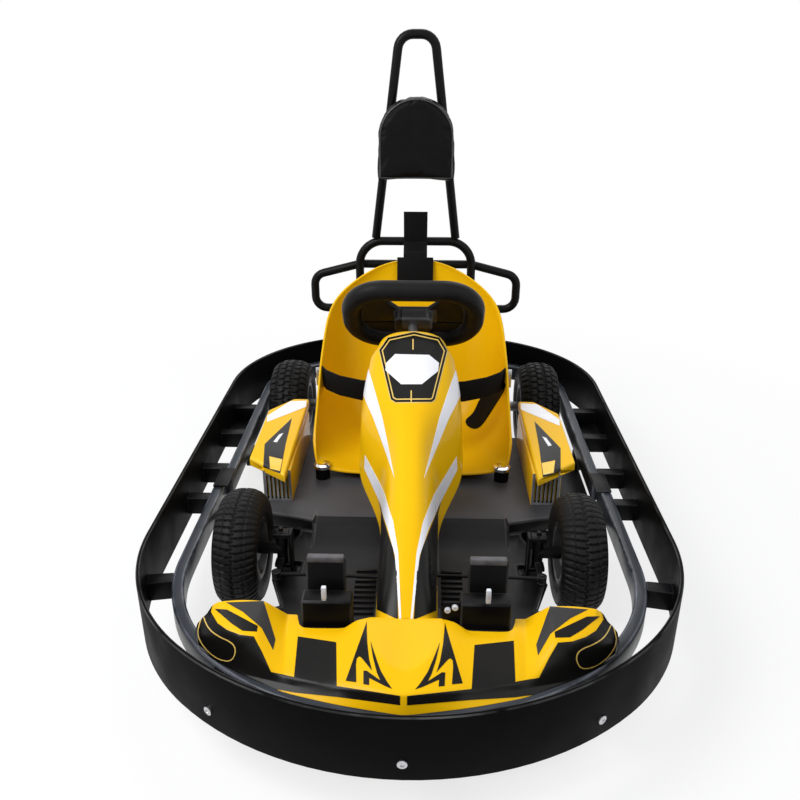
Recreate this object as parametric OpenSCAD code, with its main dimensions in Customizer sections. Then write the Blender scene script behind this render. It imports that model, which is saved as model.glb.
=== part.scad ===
// Racing kart for a hire track, with a bumper ring all round.
// The front faces -Y, up is +Z and the floor is z = 0. The origin is on the floor, under the
// middle of the bumper band. Places along Y are counted from the front axle: place() moves them.

/* [Bumper] */
// Room between the front tyres and the front bow, which they need to steer
front_room = 45.5; // [42:0.5:52]
// Room between the rear tyres and the rear bow
rear_room = 18.5; // [14:0.5:26]
// Distance from the front axle to the front tip of the band
band_front = 582; // [577:1:589]
// Distance from the rear axle to the back of the band
band_rear = 378; // [373:1:385]
// Radius of the band across its front tip
tip_r = 596; // [580:1:612]
// Half of the angle that the front tip's arc spans
tip_angle = 41.5; // [39:0.1:44]
// Radius of the band at its rear corners
rear_r = 420; // [410:1:428]
// Height of the band's lower edge
band_z = 98; // [88:1:108]
// Height of the band
band_h = 132; // [122:1:142]
// Thickness of the band
band_t = 8; // [6:0.5:10]
// Distance from the band's outer face to the front bow's
bow_inset = 60; // [56:1:64]
// How much further in the rear bow sits
rear_bow_step = 12; // [8:1:14]
// Radius of the rear bow at its corners
rear_bow_r = 240; // [225:1:255]
// Width of the bow tube
bow_w = 25; // [20:1:30]
// Height of the bow tube
bow_h = 50; // [44:1:56]
// Height of the bow's lower face
bow_z = 115; // [112:1:118]
// Place where the two bows meet
bow_joint_y = 250; // [245:1:254]

/* [Wheels] */
// Distance between the axles
wheelbase = 770; // [762:1:780]
// Front tyre diameter
front_d = 264; // [258:1:268]
// Front tyre width
front_w = 95; // [88:1:98]
// Distance between the front tyres' middles
front_track = 740; // [734:1:744]
// Rear tyre diameter
rear_d = 272; // [266:1:276]
// Rear tyre width
rear_w = 115; // [108:1:118]
// Distance between the rear tyres' middles
rear_track = 750; // [744:1:758]
// Rim radius under the tyre bead
rim_r = 64; // [60:1:68]
// Front stub axle diameter
stub_d = 17; // [15:0.5:20]
// Rear axle diameter
axle_d = 30; // [28:0.5:32]
// Radial clearance of a running shaft
run_gap = 0.05; // [0.03:0.01:0.08]

/* [Frame] */
// Distance from the kingpins in to the rails' middles
rail_in = 60; // [56:1:64]
// Width and height of the frame tubes
tube_w = 30; // [26:1:32]
// Height of the frame's lower face
frame_z = 46; // [40:1:50]
// Front end of the rails
rail_front = -430; // [-436:1:-424]
// Distance from the rear axle back to the end of the rails
rail_back = 240; // [234:1:246]
// Half of the distance between the lashing stubs
stub_x = 120; // [114:1:126]
// Lashing hole diameter
lash_d = 12; // [10:0.5:14]

/* [Floor and body] */
// Thickness of the plastic floor
floor_t = 5; // [4:0.5:6]
// Front of the raised platform
step_y = 190; // [186:1:194]
// Height of the platform's top
step_z = 114; // [111:1:116]
// Half of the platform's width
step_half_w = 372; // [366:1:378]
// Distance from the rear axle forward to the end of the platform
step_back = 170; // [166:1:174]
// Half of the tunnel's width
tunnel_half_w = 62; // [59:1:65]
// Height of the tunnel's top
tunnel_z = 150; // [146:1:156]
// Length of the slopes for the driver's heels, in front of the platform
heel_run = 120; // [110:1:130]
// Thickness of the nose and the cowl
shell_t = 4; // [3:0.5:4]
// Thickness of the seat shell
seat_t = 6; // [5:0.5:7]
// Inner side of the side pods
pod_in = 297; // [294:1:300]
// Width of the side pods at their foot
pod_w = 70; // [66:1:74]
// How far the side pods' lids reach out past their foot
pod_flare = 38; // [32:1:42]
// Height of the side pods' lids above the platform, at their front lip
pod_h = 98; // [94:1:104]
// Thickness of the side pods' walls
pod_t = 4; // [3:0.5:5]
// Width of the slots between the bars of the pods' grilles
slot_w = 5; // [4:0.5:6]

/* [Steering] */
// Place of the steering wheel's middle
wheel_y = 415; // [411:1:419]
// Height of the steering wheel's middle
wheel_z = 545; // [542:1:548]
// Slope of the column
column_angle = 36.5; // [36:0.1:37]
// Column diameter
column_d = 22; // [20:0.5:24]
// Distance from the front tyres' middles in to the kingpins
king_in = 85; // [82:1:88]
// Kingpin diameter
king_d = 10; // [8:0.5:12]
// Length of the steering arms
arm_len = 80; // [76:1:82]
// Length of the drop arm under the column
drop_len = 30; // [28:0.5:31]
// Height of the tie rods
rod_z = 120; // [118:0.5:121]
// Width over the steering wheel
wheel_w = 354; // [340:1:362]
// Height over the steering wheel, along its plane
wheel_h = 245; // [236:1:256]
// Depth of the steering wheel's hub housing, on the column's side
hub_t = 34; // [30:1:38]
// Thickness of the steering wheel's rim
rim_tube = 50; // [46:1:54]

/* [Hoops] */
// Diameter of the hoop tubes
hoop_d = 25; // [22:1:26]
// Distance from the rear axle back to the hoops
hoop_back = 70; // [68:1:72]
// Height of the seat hoop's bar
bar_z = 632; // [628:1:636]
// Distance from the rails' middles in to the seat hoop's legs
leg_in = 60; // [57:1:63]
// Height of the top of the headrest hoop
top_z = 1197; // [1180:1:1210]
// Distance from the seat hoop's legs in to the headrest hoop's foot
head_in = 49; // [44:1:54]
// Half of the headrest hoop's width at its top
head_top_x = 47; // [44:1:52]
// Distance from the seat hoop's legs out to the end of the grab rail
grab_out = 139; // [133:1:145]
// Half of the headrest pad's width
pad_half_w = 108; // [104:1:110]
// Thickness of the headrest pad
pad_t = 46; // [40:1:52]
// Height of the headrest pad's foot above the seat hoop's bar
pad_lift = 179; // [172:1:186]
// Height of the headrest pad up to its round top
pad_h = 116; // [110:1:122]
// Width of the shoulder belt
belt_w = 68; // [60:1:76]
// Width of the pad round the shoulder belt's lower end
belt_pad_w = 104; // [96:1:110]

/* [Drive] */
// Sprocket's outer radius
sprocket_r = 64; // [60:1:66]
// Brake disc's outer radius
disc_r = 74; // [68:1:75]
// Distance from the rails' middles in to the sprocket and, on the other side, to the brake disc
drive_in = 115; // [113:1:117]
// Motor radius
motor_r = 58; // [54:1:60]

/* [Hidden] */
$fn = 64;

band_half_w = bow_inset + bow_w + max(front_track / 2 + front_w / 2 + front_room,
    rear_track / 2 + rear_w / 2 + rear_room + rear_bow_step);
length = band_front + wheelbase + band_rear;
axle_y = band_front - length / 2;
band_back = wheelbase + band_rear;
// Centres of the arcs of the band's outline, and the radius that joins the tip's arc to the sides
tip_y = tip_r - band_front;
corner_r = (band_half_w - tip_r * sin(tip_angle)) / (1 - sin(tip_angle));
corner_x = band_half_w - corner_r;
corner_y = tip_y - (tip_r - corner_r) * cos(tip_angle);
corner_a = 90 - tip_angle;
king_x = front_track / 2 - king_in;
rail_x = king_x - rail_in;
rail_rear = wheelbase + rail_back;
hoop_y = wheelbase + hoop_back;
leg_x = rail_x - leg_in;
head_foot_x = leg_x - head_in;
grab_x = leg_x + grab_out;
drive_x = rail_x - drive_in;
step_end = wheelbase - step_back;
bow_top = bow_z + bow_h;
frame_top = frame_z + tube_w;
floor_top = frame_top + floor_t;
front_z = front_d / 2;
rear_z = rear_d / 2;
black = [0.05, 0.05, 0.055];
yellow = [0.98, 0.72, 0.05];
dark_steel = [0.17, 0.19, 0.24];
steel = [0.72, 0.73, 0.75];
rubber = [0.08, 0.08, 0.08];

// Moves a shape that is placed from the front axle into the part's frame
module place() {
    translate([0, axle_y, 0]) children();
}

module both_sides() {
    children();
    mirror([1, 0, 0]) children();
}

// Part of a round wall: centre, inner radius, thickness, start angle, angle, height
module arc_wall(at, r, w, start, angle, h) {
    translate(at) rotate([0, 0, start]) rotate_extrude(angle = angle, $fn = 128)
        translate([r, 0]) square([w, h]);
}

// Points along the front of the band's outline at an inset: the corner's arc, then half the tip's
tip_steps = 14;
corner_steps = 22;
function corner_point(inset, k) = let(a = -corner_a * k / corner_steps)
    [corner_x, corner_y] + (corner_r - inset) * [cos(a), sin(a)];
function tip_point(inset, k) = let(a = -90 + (90 - corner_a) * k / tip_steps)
    [0, tip_y] + (tip_r - inset) * [cos(a), sin(a)];
function front_path(inset, y_end) = let(right = concat([[band_half_w - inset, y_end]],
    [for (k = [0:corner_steps]) corner_point(inset, k)],
    [for (k = [tip_steps - 1:-1:0]) tip_point(inset, k)]))
    concat(right, [for (i = [len(right) - 2:-1:0]) [-right[i].x, right[i].y]]);
function reverse(list) = [for (i = [len(list) - 1:-1:0]) list[i]];

// Front part of a wall that follows the band's outline, back to y_end
module outline_front(inset, w, h, y_end) {
    linear_extrude(h) polygon(concat(front_path(inset, y_end), reverse(front_path(inset + w, y_end))));
}

// Rear part of a wall set in from the band's outline, from y_start on, with its own corner radius
module outline_rear(inset, w, h, y_start, r) {
    x = band_half_w - inset - r;
    y = band_back - inset - r;
    both_sides() {
        translate([x + r - w, y_start, 0]) cube([w, y - y_start, h]);
        arc_wall([x, y, 0], r - w, w, 0, 90, h);
    }
    translate([-x, y + r - w, 0]) cube([2 * x, w, h]);
}

// Box from its lowest corner to its highest
module span(a, b) {
    translate(a) cube(b - a);
}

function unit(v) = v / norm(v);

// Cylinder between two points
module rod(a, b, d) {
    v = b - a;
    translate(a) rotate([0, acos(v.z / norm(v)), atan2(v.y, v.x)]) cylinder(h = norm(v), d = d);
}

// Points of a path in the X-Z plane with each corner rounded to the radius r
function bend_cut(a, b, c, r) = r * tan(acos(unit(b - a) * unit(c - b)) / 2);
function bend(a, b, c, r, steps) = let(
    u = unit(b - a),
    v = unit(c - b),
    turn = cross(u, v) > 0 ? 1 : -1,
    centre = b - u * bend_cut(a, b, c, r) + turn * r * [-u.y, u.x],
    angle = acos(u * v))
    [for (k = [0:steps]) let(t = turn * angle * k / steps, w = -turn * r * [-u.y, u.x])
        centre + [w.x * cos(t) - w.y * sin(t), w.x * sin(t) + w.y * cos(t)]];
function bent_path(points, r, steps = 6) = let(n = len(points)) concat([points[0]],
    [for (i = [1:n - 2]) each bend(points[i - 1], points[i], points[i + 1], r, steps)], [points[n - 1]]);

// Round tube along a path in the X-Z plane, closed on itself or with flat ends
module swept_tube(path, d, closed = false, sides = 20) {
    n = len(path);
    function along(i) = closed ? unit(path[(i + 1) % n] - path[(i + n - 1) % n]) :
        unit(path[min(i + 1, n - 1)] - path[max(i - 1, 0)]);
    points = [for (i = [0:n - 1]) let(t = along(i)) for (k = [0:sides - 1]) let(a = 360 * k / sides)
        [path[i].x - t.y * cos(a) * d / 2, sin(a) * d / 2, path[i].y + t.x * cos(a) * d / 2]];
    last = closed ? n - 1 : n - 2;
    skin = [for (i = [0:last]) for (k = [0:sides - 1]) let(
        a = i * sides + k,
        b = i * sides + (k + 1) % sides,
        c = (i + 1) % n * sides + (k + 1) % sides,
        e = (i + 1) % n * sides + k) each [[a, b, c], [a, c, e]]];
    ends = closed ? [] : [[for (k = [sides - 1:-1:0]) k], [for (k = [0:sides - 1]) (n - 1) * sides + k]];
    polyhedron(points = points, faces = concat(skin, ends), convexity = 6);
}

// Round tube with two square bends: two legs and a bar across
module square_hoop(x, top, foot, r, d) {
    both_sides() {
        translate([x, 0, foot]) cylinder(h = top - r - foot, d = d);
        translate([x - r, 0, top - r]) rotate([90, 0, 0]) rotate_extrude(angle = 90)
            translate([r, 0]) circle(d = d);
    }
    translate([r - x, 0, top]) rotate([0, 90, 0]) cylinder(h = 2 * (x - r), d = d);
}

// Flat strap along points in the Y-Z plane, w wide across X
module strap(points, w, t) {
    n = len(points);
    side = [for (i = [0:n - 1]) let(
        v = unit(points[min(i + 1, n - 1)] - points[max(i - 1, 0)])) [-v.y, v.x] * t / 2];
    edge = concat([for (i = [0:n - 1]) points[i] + side[i]],
        [for (i = [n - 1:-1:0]) points[i] - side[i]]);
    translate([-w / 2, 0, 0]) rotate([90, 0, 90]) linear_extrude(w) polygon(edge);
}

// Turns a shape about X so that its own Z runs up the steering column
module on_column(along = 0) {
    translate([0, wheel_y - along * cos(column_angle), wheel_z - along * sin(column_angle)])
        rotate([column_angle - 90, 0, 0]) children();
}

// Normal of a grid of points at row i and column j
function grid_normal(g, i, j) = let(
    m = len(g) - 1,
    n = len(g[0]) - 1,
    a = g[min(i + 1, m)][j] - g[max(i - 1, 0)][j],
    b = g[i][min(j + 1, n)] - g[i][max(j - 1, 0)]) unit(cross(a, b));

// Closed wall of thickness t behind a grid of points, no lower than z = floor_at
module wall(g, t, floor_at = 0) {
    m = len(g);
    n = len(g[0]);
    back = [for (i = [0:m - 1]) [for (j = [0:n - 1])
        let(p = g[i][j] - grid_normal(g, i, j) * t) [p.x, p.y, max(p.z, floor_at)]]];
    points = concat([for (row = g) each row], [for (row = back) each row]);
    half = m * n;
    function at(i, j) = i * n + j;
    sheet = [for (i = [0:m - 2]) for (j = [0:n - 2])
        each [[at(i, j), at(i + 1, j), at(i + 1, j + 1)], [at(i, j), at(i + 1, j + 1), at(i, j + 1)]]];
    rim = concat([for (j = [0:n - 2]) [at(0, j), at(0, j + 1)]],
        [for (i = [0:m - 2]) [at(i, n - 1), at(i + 1, n - 1)]],
        [for (j = [n - 1:-1:1]) [at(m - 1, j), at(m - 1, j - 1)]],
        [for (i = [m - 1:-1:1]) [at(i, 0), at(i - 1, 0)]]);
    faces = concat([for (f = sheet) [f[2], f[1], f[0]]], [for (f = sheet) [for (k = f) k + half]],
        [for (e = rim) each [[e[1], e[0], e[0] + half], [e[1], e[0] + half, e[1] + half]]]);
    polyhedron(points = points, faces = [for (f = faces) [f[2], f[1], f[0]]], convexity = 6);
}

// Right half of a row of stations, with its mirror image before it
function mirrored(rows) = concat(
    [for (i = [len(rows) - 1:-1:1]) [for (p = rows[i]) [-p.x, p.y, p.z]]], rows);

module bumper_band() {
    color(black) place() translate([0, 0, band_z]) {
        outline_front(0, band_t, band_h, bow_joint_y);
        outline_rear(0, band_t, band_h, bow_joint_y, rear_r);
    }
}

module bumper_front_bow() {
    color(dark_steel) place() translate([0, 0, bow_z])
        outline_front(bow_inset, bow_w, bow_h, bow_joint_y);
}

module bumper_rear_bow() {
    color(dark_steel) place() translate([0, 0, bow_z])
        outline_rear(bow_inset + rear_bow_step, bow_w, bow_h, bow_joint_y, rear_bow_r);
}

// Plan of a block between two steps of the tip's arc
module tip_block(from, to) {
    polygon(concat([for (k = [from:to]) tip_point(bow_inset, k)],
        [for (k = [to:-1:from]) tip_point(band_t, k)]));
}

// Blocks between the bows and the band, and two joint plates over the bows' ends
module bumper_spacers() {
    z = bow_z + 3;
    h = bow_h - 6;
    gap = bow_inset - band_t;
    wide = gap + rear_bow_step;
    color(dark_steel) place() {
        translate([0, 0, z]) linear_extrude(h) {
            tip_block(-1, 1);
            both_sides() {
                tip_block(12, 13);
                polygon(concat([for (k = [3:5]) corner_point(bow_inset, k)],
                    [for (k = [5:-1:3]) corner_point(band_t, k)]));
            }
        }
        both_sides() {
            span([band_half_w - bow_inset, bow_joint_y - 95, z], [band_half_w - band_t, bow_joint_y - 65, z + h]);
            for (y = [bow_joint_y + 70, wheelbase - 250, wheelbase - 80])
                span([band_half_w - band_t - wide, y - 15, z], [band_half_w - band_t, y + 15, z + h]);
            span([72, band_back - band_t - wide, z], [108, band_back - band_t, z + h]);
        }
        both_sides() span([band_half_w - bow_inset - bow_w - rear_bow_step, bow_joint_y - 45, bow_top],
            [band_half_w - bow_inset, bow_joint_y + 45, bow_top + 5]);
    }
}

module frame_rails() {
    color(black) place() both_sides()
        span([rail_x - tube_w / 2, rail_front, frame_z], [rail_x + tube_w / 2, rail_rear, frame_top]);
}

// Cross tubes between the rails, and arms out to the bows
cross_y = [rail_front + tube_w / 2, 0, bow_joint_y, step_end - 40, hoop_y, rail_rear - tube_w / 2];
module frame_crosses() {
    in = rail_x - tube_w / 2;
    out = rail_x + tube_w / 2;
    low = frame_top - 20;
    front_bow_y = tip_y - sqrt(pow(tip_r - bow_inset - bow_w / 2, 2) - pow(stub_x, 2));
    rear_bow_y = band_back - bow_inset - rear_bow_step;
    arm_x = band_half_w - bow_inset;
    arm_y = wheelbase - 260;
    color(black) place() {
        for (y = cross_y) span([-in, y - tube_w / 2, frame_z], [in, y + tube_w / 2, frame_top]);
        both_sides() {
            span([out, -15, frame_z], [king_x - 25, 15, frame_top]);
            // Arms to the front bow, with a post up to its lower face
            span([out, bow_joint_y - 25, low], [arm_x, bow_joint_y - 5, frame_top]);
            span([arm_x - bow_w, bow_joint_y - 25, frame_top], [arm_x, bow_joint_y - 5, bow_z]);
            span([out, arm_y, low], [arm_x - rear_bow_step, arm_y + 20, frame_top]);
            span([arm_x - rear_bow_step - bow_w, arm_y, frame_top], [arm_x - rear_bow_step, arm_y + 20, bow_z]);
            // Lashing stubs at the front and the rear
            difference() {
                span([stub_x - 15, front_bow_y - 8, low], [stub_x + 15, rail_front, frame_top]);
                translate([stub_x, rail_front - 30, low - 1]) cylinder(h = 22, d = lash_d);
            }
            span([stub_x - 15, front_bow_y - 8, frame_top], [stub_x + 15, front_bow_y + 8, bow_z]);
            difference() {
                span([stub_x - 15, rail_rear, low], [stub_x + 15, rear_bow_y, frame_top]);
                translate([stub_x, rail_rear + 25, low - 1]) cylinder(h = 22, d = lash_d);
            }
            span([stub_x - 15, rear_bow_y - bow_w, frame_top], [stub_x + 15, rear_bow_y, bow_z]);
        }
    }
}

// Forks that hold the kingpins at the ends of the axle tube
module front_yokes() {
    top = front_z + 45;
    color(black) place() both_sides() {
        span([king_x - 25, -14, frame_z], [king_x - 17, 14, top]);
        for (z = [front_z - 44, front_z + 34])
            span([king_x - 17, -14, z], [king_x + 17, 14, z + 10]);
        translate([king_x, 0, front_z - 50]) cylinder(h = 104, d = king_d);
    }
}

// Lower post and upper fork that the steering column turns in
module column_support() {
    low_s = 566;
    high_s = 190;
    high = [0, wheel_y - high_s * cos(column_angle), wheel_z - high_s * sin(column_angle)];
    low_y = wheel_y - low_s * cos(column_angle);
    low_z = wheel_z - low_s * sin(column_angle);
    bore_r = column_d / 2 + run_gap;
    color(black) place() difference() {
        union() {
            span([-14, low_y - 14, floor_top], [14, low_y + 14, low_z + 22]);
            translate(high) rotate([column_angle - 90, 0, 0]) cylinder(h = 40, d = column_d + 24, center = true);
            both_sides() hull() {
                span([40, step_y - 42, tunnel_z], [56, step_y - 26, tunnel_z + 4]);
                translate(high + [bore_r + 5, 0, -8]) cube([8, 14, 14], center = true);
            }
        }
        on_column(low_s + 100) cylinder(h = 600, r = bore_r);
    }
}

// Foot tray, tunnel under the column and the platform that the seat and the pods stand on
// The heel slope's curve, from the platform's front to the tray: share of its run and of its height
heel_slope = [[0, 1], [0.2, 0.88], [0.42, 0.64], [0.62, 0.33], [0.83, 0.09], [1, 0]];
module floor_pan() {
    tray = rail_x + 20;
    block_x = rail_x + 7;
    rod_y = -arm_len;
    // Reach of the tray's sides round the front tyre at full lock
    tyre_r = front_d / 2 + 5;
    side_x = front_track / 2 - front_w / 2 - 15;
    color(black) place() {
        span([-tray, rail_front + 35, frame_top], [tray, step_y, floor_top]);
        span([-tunnel_half_w, -331, floor_top], [tunnel_half_w, rod_y - 60, tunnel_z]);
        span([-tunnel_half_w, rod_y + 75, floor_top], [tunnel_half_w, step_y, tunnel_z]);
        span([-step_half_w, step_y, frame_top], [step_half_w, step_y + 6, step_z]);
        span([-step_half_w, step_y + 6, step_z - 6], [step_half_w, step_end, step_z]);
        both_sides() span([step_half_w - 6, step_y + 6, frame_top], [step_half_w, step_end, step_z - 6]);
        span([-step_half_w + 6, step_end - 6, frame_top], [step_half_w - 6, step_end, step_z - 6]);
        both_sides() {
            // Slope for the heels, the tray's sides and the block behind the front tyre
            translate([tunnel_half_w - 2, 0, 0]) rotate([90, 0, 90]) linear_extrude(block_x + 2 - tunnel_half_w)
                polygon(concat([[step_y + 3, frame_top + 2], [step_y + 3, step_z]],
                    [for (p = heel_slope) [step_y - heel_run * p.x, floor_top + (step_z - floor_top) * p.y]],
                    [[step_y - heel_run, frame_top + 2]]));
            translate([0, 0, frame_top]) linear_extrude(floor_top - frame_top) {
                polygon([[tray - 1, rail_front + 35], [king_x + 35, rail_front + 35],
                    [king_x + 35, -tyre_r - 20], [king_x - 17, -tyre_r - 1], [side_x, -20], [tray - 1, -20]]);
                polygon([[tray - 1, 20], [side_x, 20], [king_x - 17, tyre_r - 7],
                    [king_x - 17, step_y - 30], [tray - 1, step_y - 30]]);
            }
            translate([0, 0, frame_top]) linear_extrude(step_z - frame_top) polygon([[block_x, step_y - 48],
                [step_half_w, step_y - 10], [step_half_w, step_y + 3], [block_x, step_y + 3]]);
        }
    }
}

// Brake pedal on the left and throttle pedal on the right, each with its housing
pedal_side = [[-345, 81], [-345, 196], [-314, 200], [-296, 150], [-272, 300], [-262, 298],
    [-280, 140], [-270, 81]];
module pedals() {
    color(black) place() both_sides() {
        translate([113, 0, 0]) rotate([90, 0, 90]) linear_extrude(74)
            polygon([for (p = pedal_side) [p.x, p.y == 81 ? floor_top : p.y]]);
        span([97, -343, floor_top], [188, -306, 256]);
    }
}

// Stations of the nose from the middle out. Columns, each x, y and the height over the bow: foot,
// lower and upper line of the front face, front edge of the top, crest and back edge
nose_stations = [
    [[0, -513, 0], [0, -507, 15], [0, -500, 30], [0, -462, 38], [0, -405, 41], [0, -332, 52]],
    [[17, -511, 0], [17, -505, 15], [17, -497, 31], [34, -450, 47], [50, -400, 52], [63, -333, 55]],
    [[60, -503, 0], [60, -495, 13], [60, -487, 27], [76, -430, 42], [84, -390, 49], [84, -344, 57]],
    [[110, -494, 0], [111, -481, 8], [112, -472, 18], [118, -389, 40], [119, -370, 42], [110, -354, 44]],
    [[184, -474, 0], [184, -462, 7], [184, -454, 17], [190, -379, 40], [191, -366, 42], [191, -354, 42]],
    [[196, -470, 0], [195, -458, 7], [194, -450, 16], [199, -382, 38], [199, -345, 41], [199, -316, 42]],
    [[208, -466, 0], [207, -455, 6], [206, -446, 15], [212, -385, 33], [216, -350, 39], [218, -315, 41]],
    [[230, -455, 0], [229, -447, 6], [228, -441, 15], [261, -399, 55], [260, -362, 69], [256, -325, 80]],
    [[292, -424, 0], [290, -418, 10], [289, -410, 30], [289, -395, 57], [297, -360, 70], [300, -323, 81]],
    [[343, -392, 0], [343, -388, 11], [338, -384, 31], [320, -380, 56], [335, -352, 64], [342, -324, 75]],
    [[372, -366, 0], [371, -374, 15], [366, -370, 35], [346, -352, 59], [350, -338, 61], [350, -322, 67]],
    [[384, -345, 0], [385, -345, 13], [380, -340, 35], [362, -330, 51], [358, -322, 55], [354, -316, 57]]];
function nose_row(s) = concat([for (p = s) [p.x, p.y, bow_top + p.z]],
    [let(back = s[len(s) - 1]) [back.x, back.y + 1, bow_top + 6]]);
module nose_fairing() {
    color(yellow) place()
        wall(mirrored([for (s = nose_stations) nose_row(s)]), shell_t, bow_top);
}

// Stations of the cowl from its foot to its top: y, ridge height, lower edge, half width
cowl_stations = [
    [-330, 221, 150, 60],
    [-280, 256, 150, 60],
    [-200, 299, 150, 60],
    [-60, 366, 150, 60],
    [40, 413, 160, 64],
    [95, 440, 195, 92],
    [145, 463, 228, 121],
    [195, 487, 256, 125],
    [245, 511, 335, 121],
    [285, 530, 415, 108],
    [312, 538, 470, 85]];
cowl_arch = [[0, 1], [0.34, 0.985], [0.66, 0.88], [0.88, 0.68], [0.97, 0.42], [1, 0]];
function cowl_row(s) = let(low = s[2] == 150 ? tunnel_z : s[2])
    mirrored([for (p = cowl_arch) [[s[3] * p.x, s[0], low + (s[1] - low) * p.y]]]);
module cowl_grid() {
    wall(reverse([for (s = cowl_stations) [for (r = cowl_row(s)) r[0]]]), shell_t, tunnel_z);
}
module steering_cowl() {
    color(yellow) place() cowl_grid();
}

// Stations of the seat from its front lip to its top, counted from the rear axle: place and height
// on the middle line, place and height of the side's edge, half width
seat_stations = [
    [-432, 138, -420, 160, 254],
    [-370, 126, -388, 209, 257],
    [-300, 120, -340, 252, 255],
    [-230, 120, -268, 308, 254],
    [-170, 124, -230, 357, 252],
    [-115, 146, -190, 378, 251],
    [-74, 205, -158, 404, 249],
    [-44, 300, -115, 455, 243],
    [-22, 390, -75, 494, 226],
    [-6, 465, -40, 523, 194],
    [6, 520, -13, 550, 150],
    [14, 560, 7, 576, 98],
    [18, 586, 17, 588, 40]];
seat_steps = 18;
function seat_row(s) = [for (k = [0:seat_steps]) let(
    a = 2 * k / seat_steps - 1,
    f = pow(max(0, abs(a) - 0.3) / 0.7, 2),
    g = 1 - pow(1 - abs(a), 1.6))
    [sign(a) * s[4] * g, wheelbase + s[0] + (s[2] - s[0]) * f, step_z + seat_t - 120 + s[1] + (s[3] - s[1]) * f]];
module seat_shell() {
    color(yellow) place() wall(reverse([for (s = seat_stations) seat_row(s)]), seat_t);
}

// Side pod: a hollow foot with a grille at its front, under a lid that overhangs it
pod_front = step_y + 36;
pod_end = step_end - 34;
function pod_plan(inset, front) = let(out = pod_in + pod_w)
    [[pod_in + inset, pod_front + front], [out - inset, pod_front + front], [out + 8 - inset, pod_end - 70],
    [pod_in + 37, pod_end - inset], [pod_in + inset, pod_end - inset]];
module pod_lid() {
    out = pod_in + pod_w + pod_flare;
    z = step_z + pod_h;
    top = [[pod_in + 8, pod_front - 38, z], [out - 2, pod_front + 28, z + 10], [out - 9, pod_end - 76, z + 31],
        [pod_in + 37, pod_end, z + 33], [pod_in - 3, pod_end, z + 33]];
    low = [for (p = top) [p.x, p.y, p.z - 22]];
    n = len(top);
    fan = [for (i = [1:n - 2]) [0, i, i + 1]];
    polyhedron(points = concat(top, low), faces = concat([for (f = fan) [f[2], f[1], f[0]]],
        [for (f = fan) [for (k = f) k + n]], [for (i = [0:n - 1]) let(j = (i + 1) % n) each
        [[i, j, j + n], [i, j + n, i + n]]]), convexity = 4);
}
module side_pod() {
    bars = 6;
    pitch = (pod_w - 10) / bars;
    color(yellow) place() difference() {
        union() {
            translate([0, 0, step_z]) linear_extrude(pod_h - 8) polygon(pod_plan(0, 0));
            pod_lid();
        }
        translate([0, 0, step_z - 1]) linear_extrude(pod_h - 16) polygon(pod_plan(pod_t, 14));
        for (k = [0:bars - 1]) translate([pod_in + 7 + k * pitch, pod_front - 1, step_z + 8])
            cube([slot_w, 9, pod_h - 32]);
    }
}
module side_pod_right() {
    side_pod();
}
module side_pod_left() {
    mirror([1, 0, 0]) side_pod();
}

// Battery block inside each pod
module batteries() {
    color(black) place() both_sides()
        span([pod_in + 8, pod_front + 19, step_z], [pod_in + pod_w - 8, pod_end - 76, step_z + pod_h - 25]);
}

module seat_hoop() {
    color(black) place() translate([0, hoop_y, 0]) square_hoop(leg_x, bar_z, frame_top, 70, hoop_d);
}

// Flat loop behind the seat hoop, with a hand hold on each side
module grab_rail() {
    high = bar_z - 74;
    low = high - 138;
    right = bent_path([[0, high], [leg_x, high], [grab_x, high - 36], [grab_x, low], [0, low]], 36);
    left = [for (i = [len(right) - 2:-1:1]) [-right[i].x, right[i].y]];
    color(black) place() translate([0, hoop_y + hoop_d - 3, 0])
        swept_tube(concat(right, left), hoop_d, closed = true);
}

module headrest_hoop() {
    foot = bar_z + hoop_d / 2 - 3;
    color(black) place() translate([0, hoop_y, 0]) swept_tube(bent_path([[-head_foot_x, foot],
        [-head_top_x, top_z - hoop_d / 2], [head_top_x, top_z - hoop_d / 2], [head_foot_x, foot]], 40), hoop_d);
}

// Pad with a round top, on the front of its hoop
module headrest_pad() {
    y = hoop_y - hoop_d / 2;
    color(black) place() translate([0, y, bar_z + pad_lift]) rotate([90, 0, 0]) linear_extrude(pad_t) {
        translate([-pad_half_w, 0]) square([2 * pad_half_w, pad_h]);
        translate([0, pad_h]) circle(r = pad_half_w);
    }
}

// Strap from the seat back up in front of the bar
module shoulder_belt() {
    front = hoop_y - hoop_d / 2 - 1.5;
    seat_top = step_z + seat_t + 468;
    line = [[hoop_y - 76, seat_top - 68], [hoop_y - 64, seat_top - 16], [hoop_y - 53, seat_top + 24],
        [front, bar_z], [hoop_y - 34, bar_z + 92]];
    color(black) place() {
        strap(line, belt_w, 3);
        intersection() {
            strap(line, belt_pad_w, 3);
            span([-belt_pad_w, hoop_y - 200, 0], [belt_pad_w, hoop_y, seat_top + 10]);
        }
    }
}

// Buckled belt from one side of the seat to the other, with its tail hanging on the right
module lap_belt() {
    z = 296;
    y = wheelbase - 340;
    plan = [[0, y], [70, y + 3], [136, y + 16], [196, y + 46], [236, y + 84], [251, y + 115]];
    n = len(plan);
    side = [for (i = [0:n - 1]) let(v = unit(plan[min(i + 1, n - 1)] - plan[max(i - 1, 0)])) [-v.y, v.x] * 1.5];
    edge = concat([for (i = [0:n - 1]) plan[i] + side[i]], [for (i = [n - 1:-1:0]) plan[i] - side[i]]);
    color(black) place() {
        translate([0, 0, z]) linear_extrude(58) both_sides() polygon(edge);
        span([-28, y + 1.5, z - 4], [28, y + 17, z + 62]);
    }
}

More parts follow.
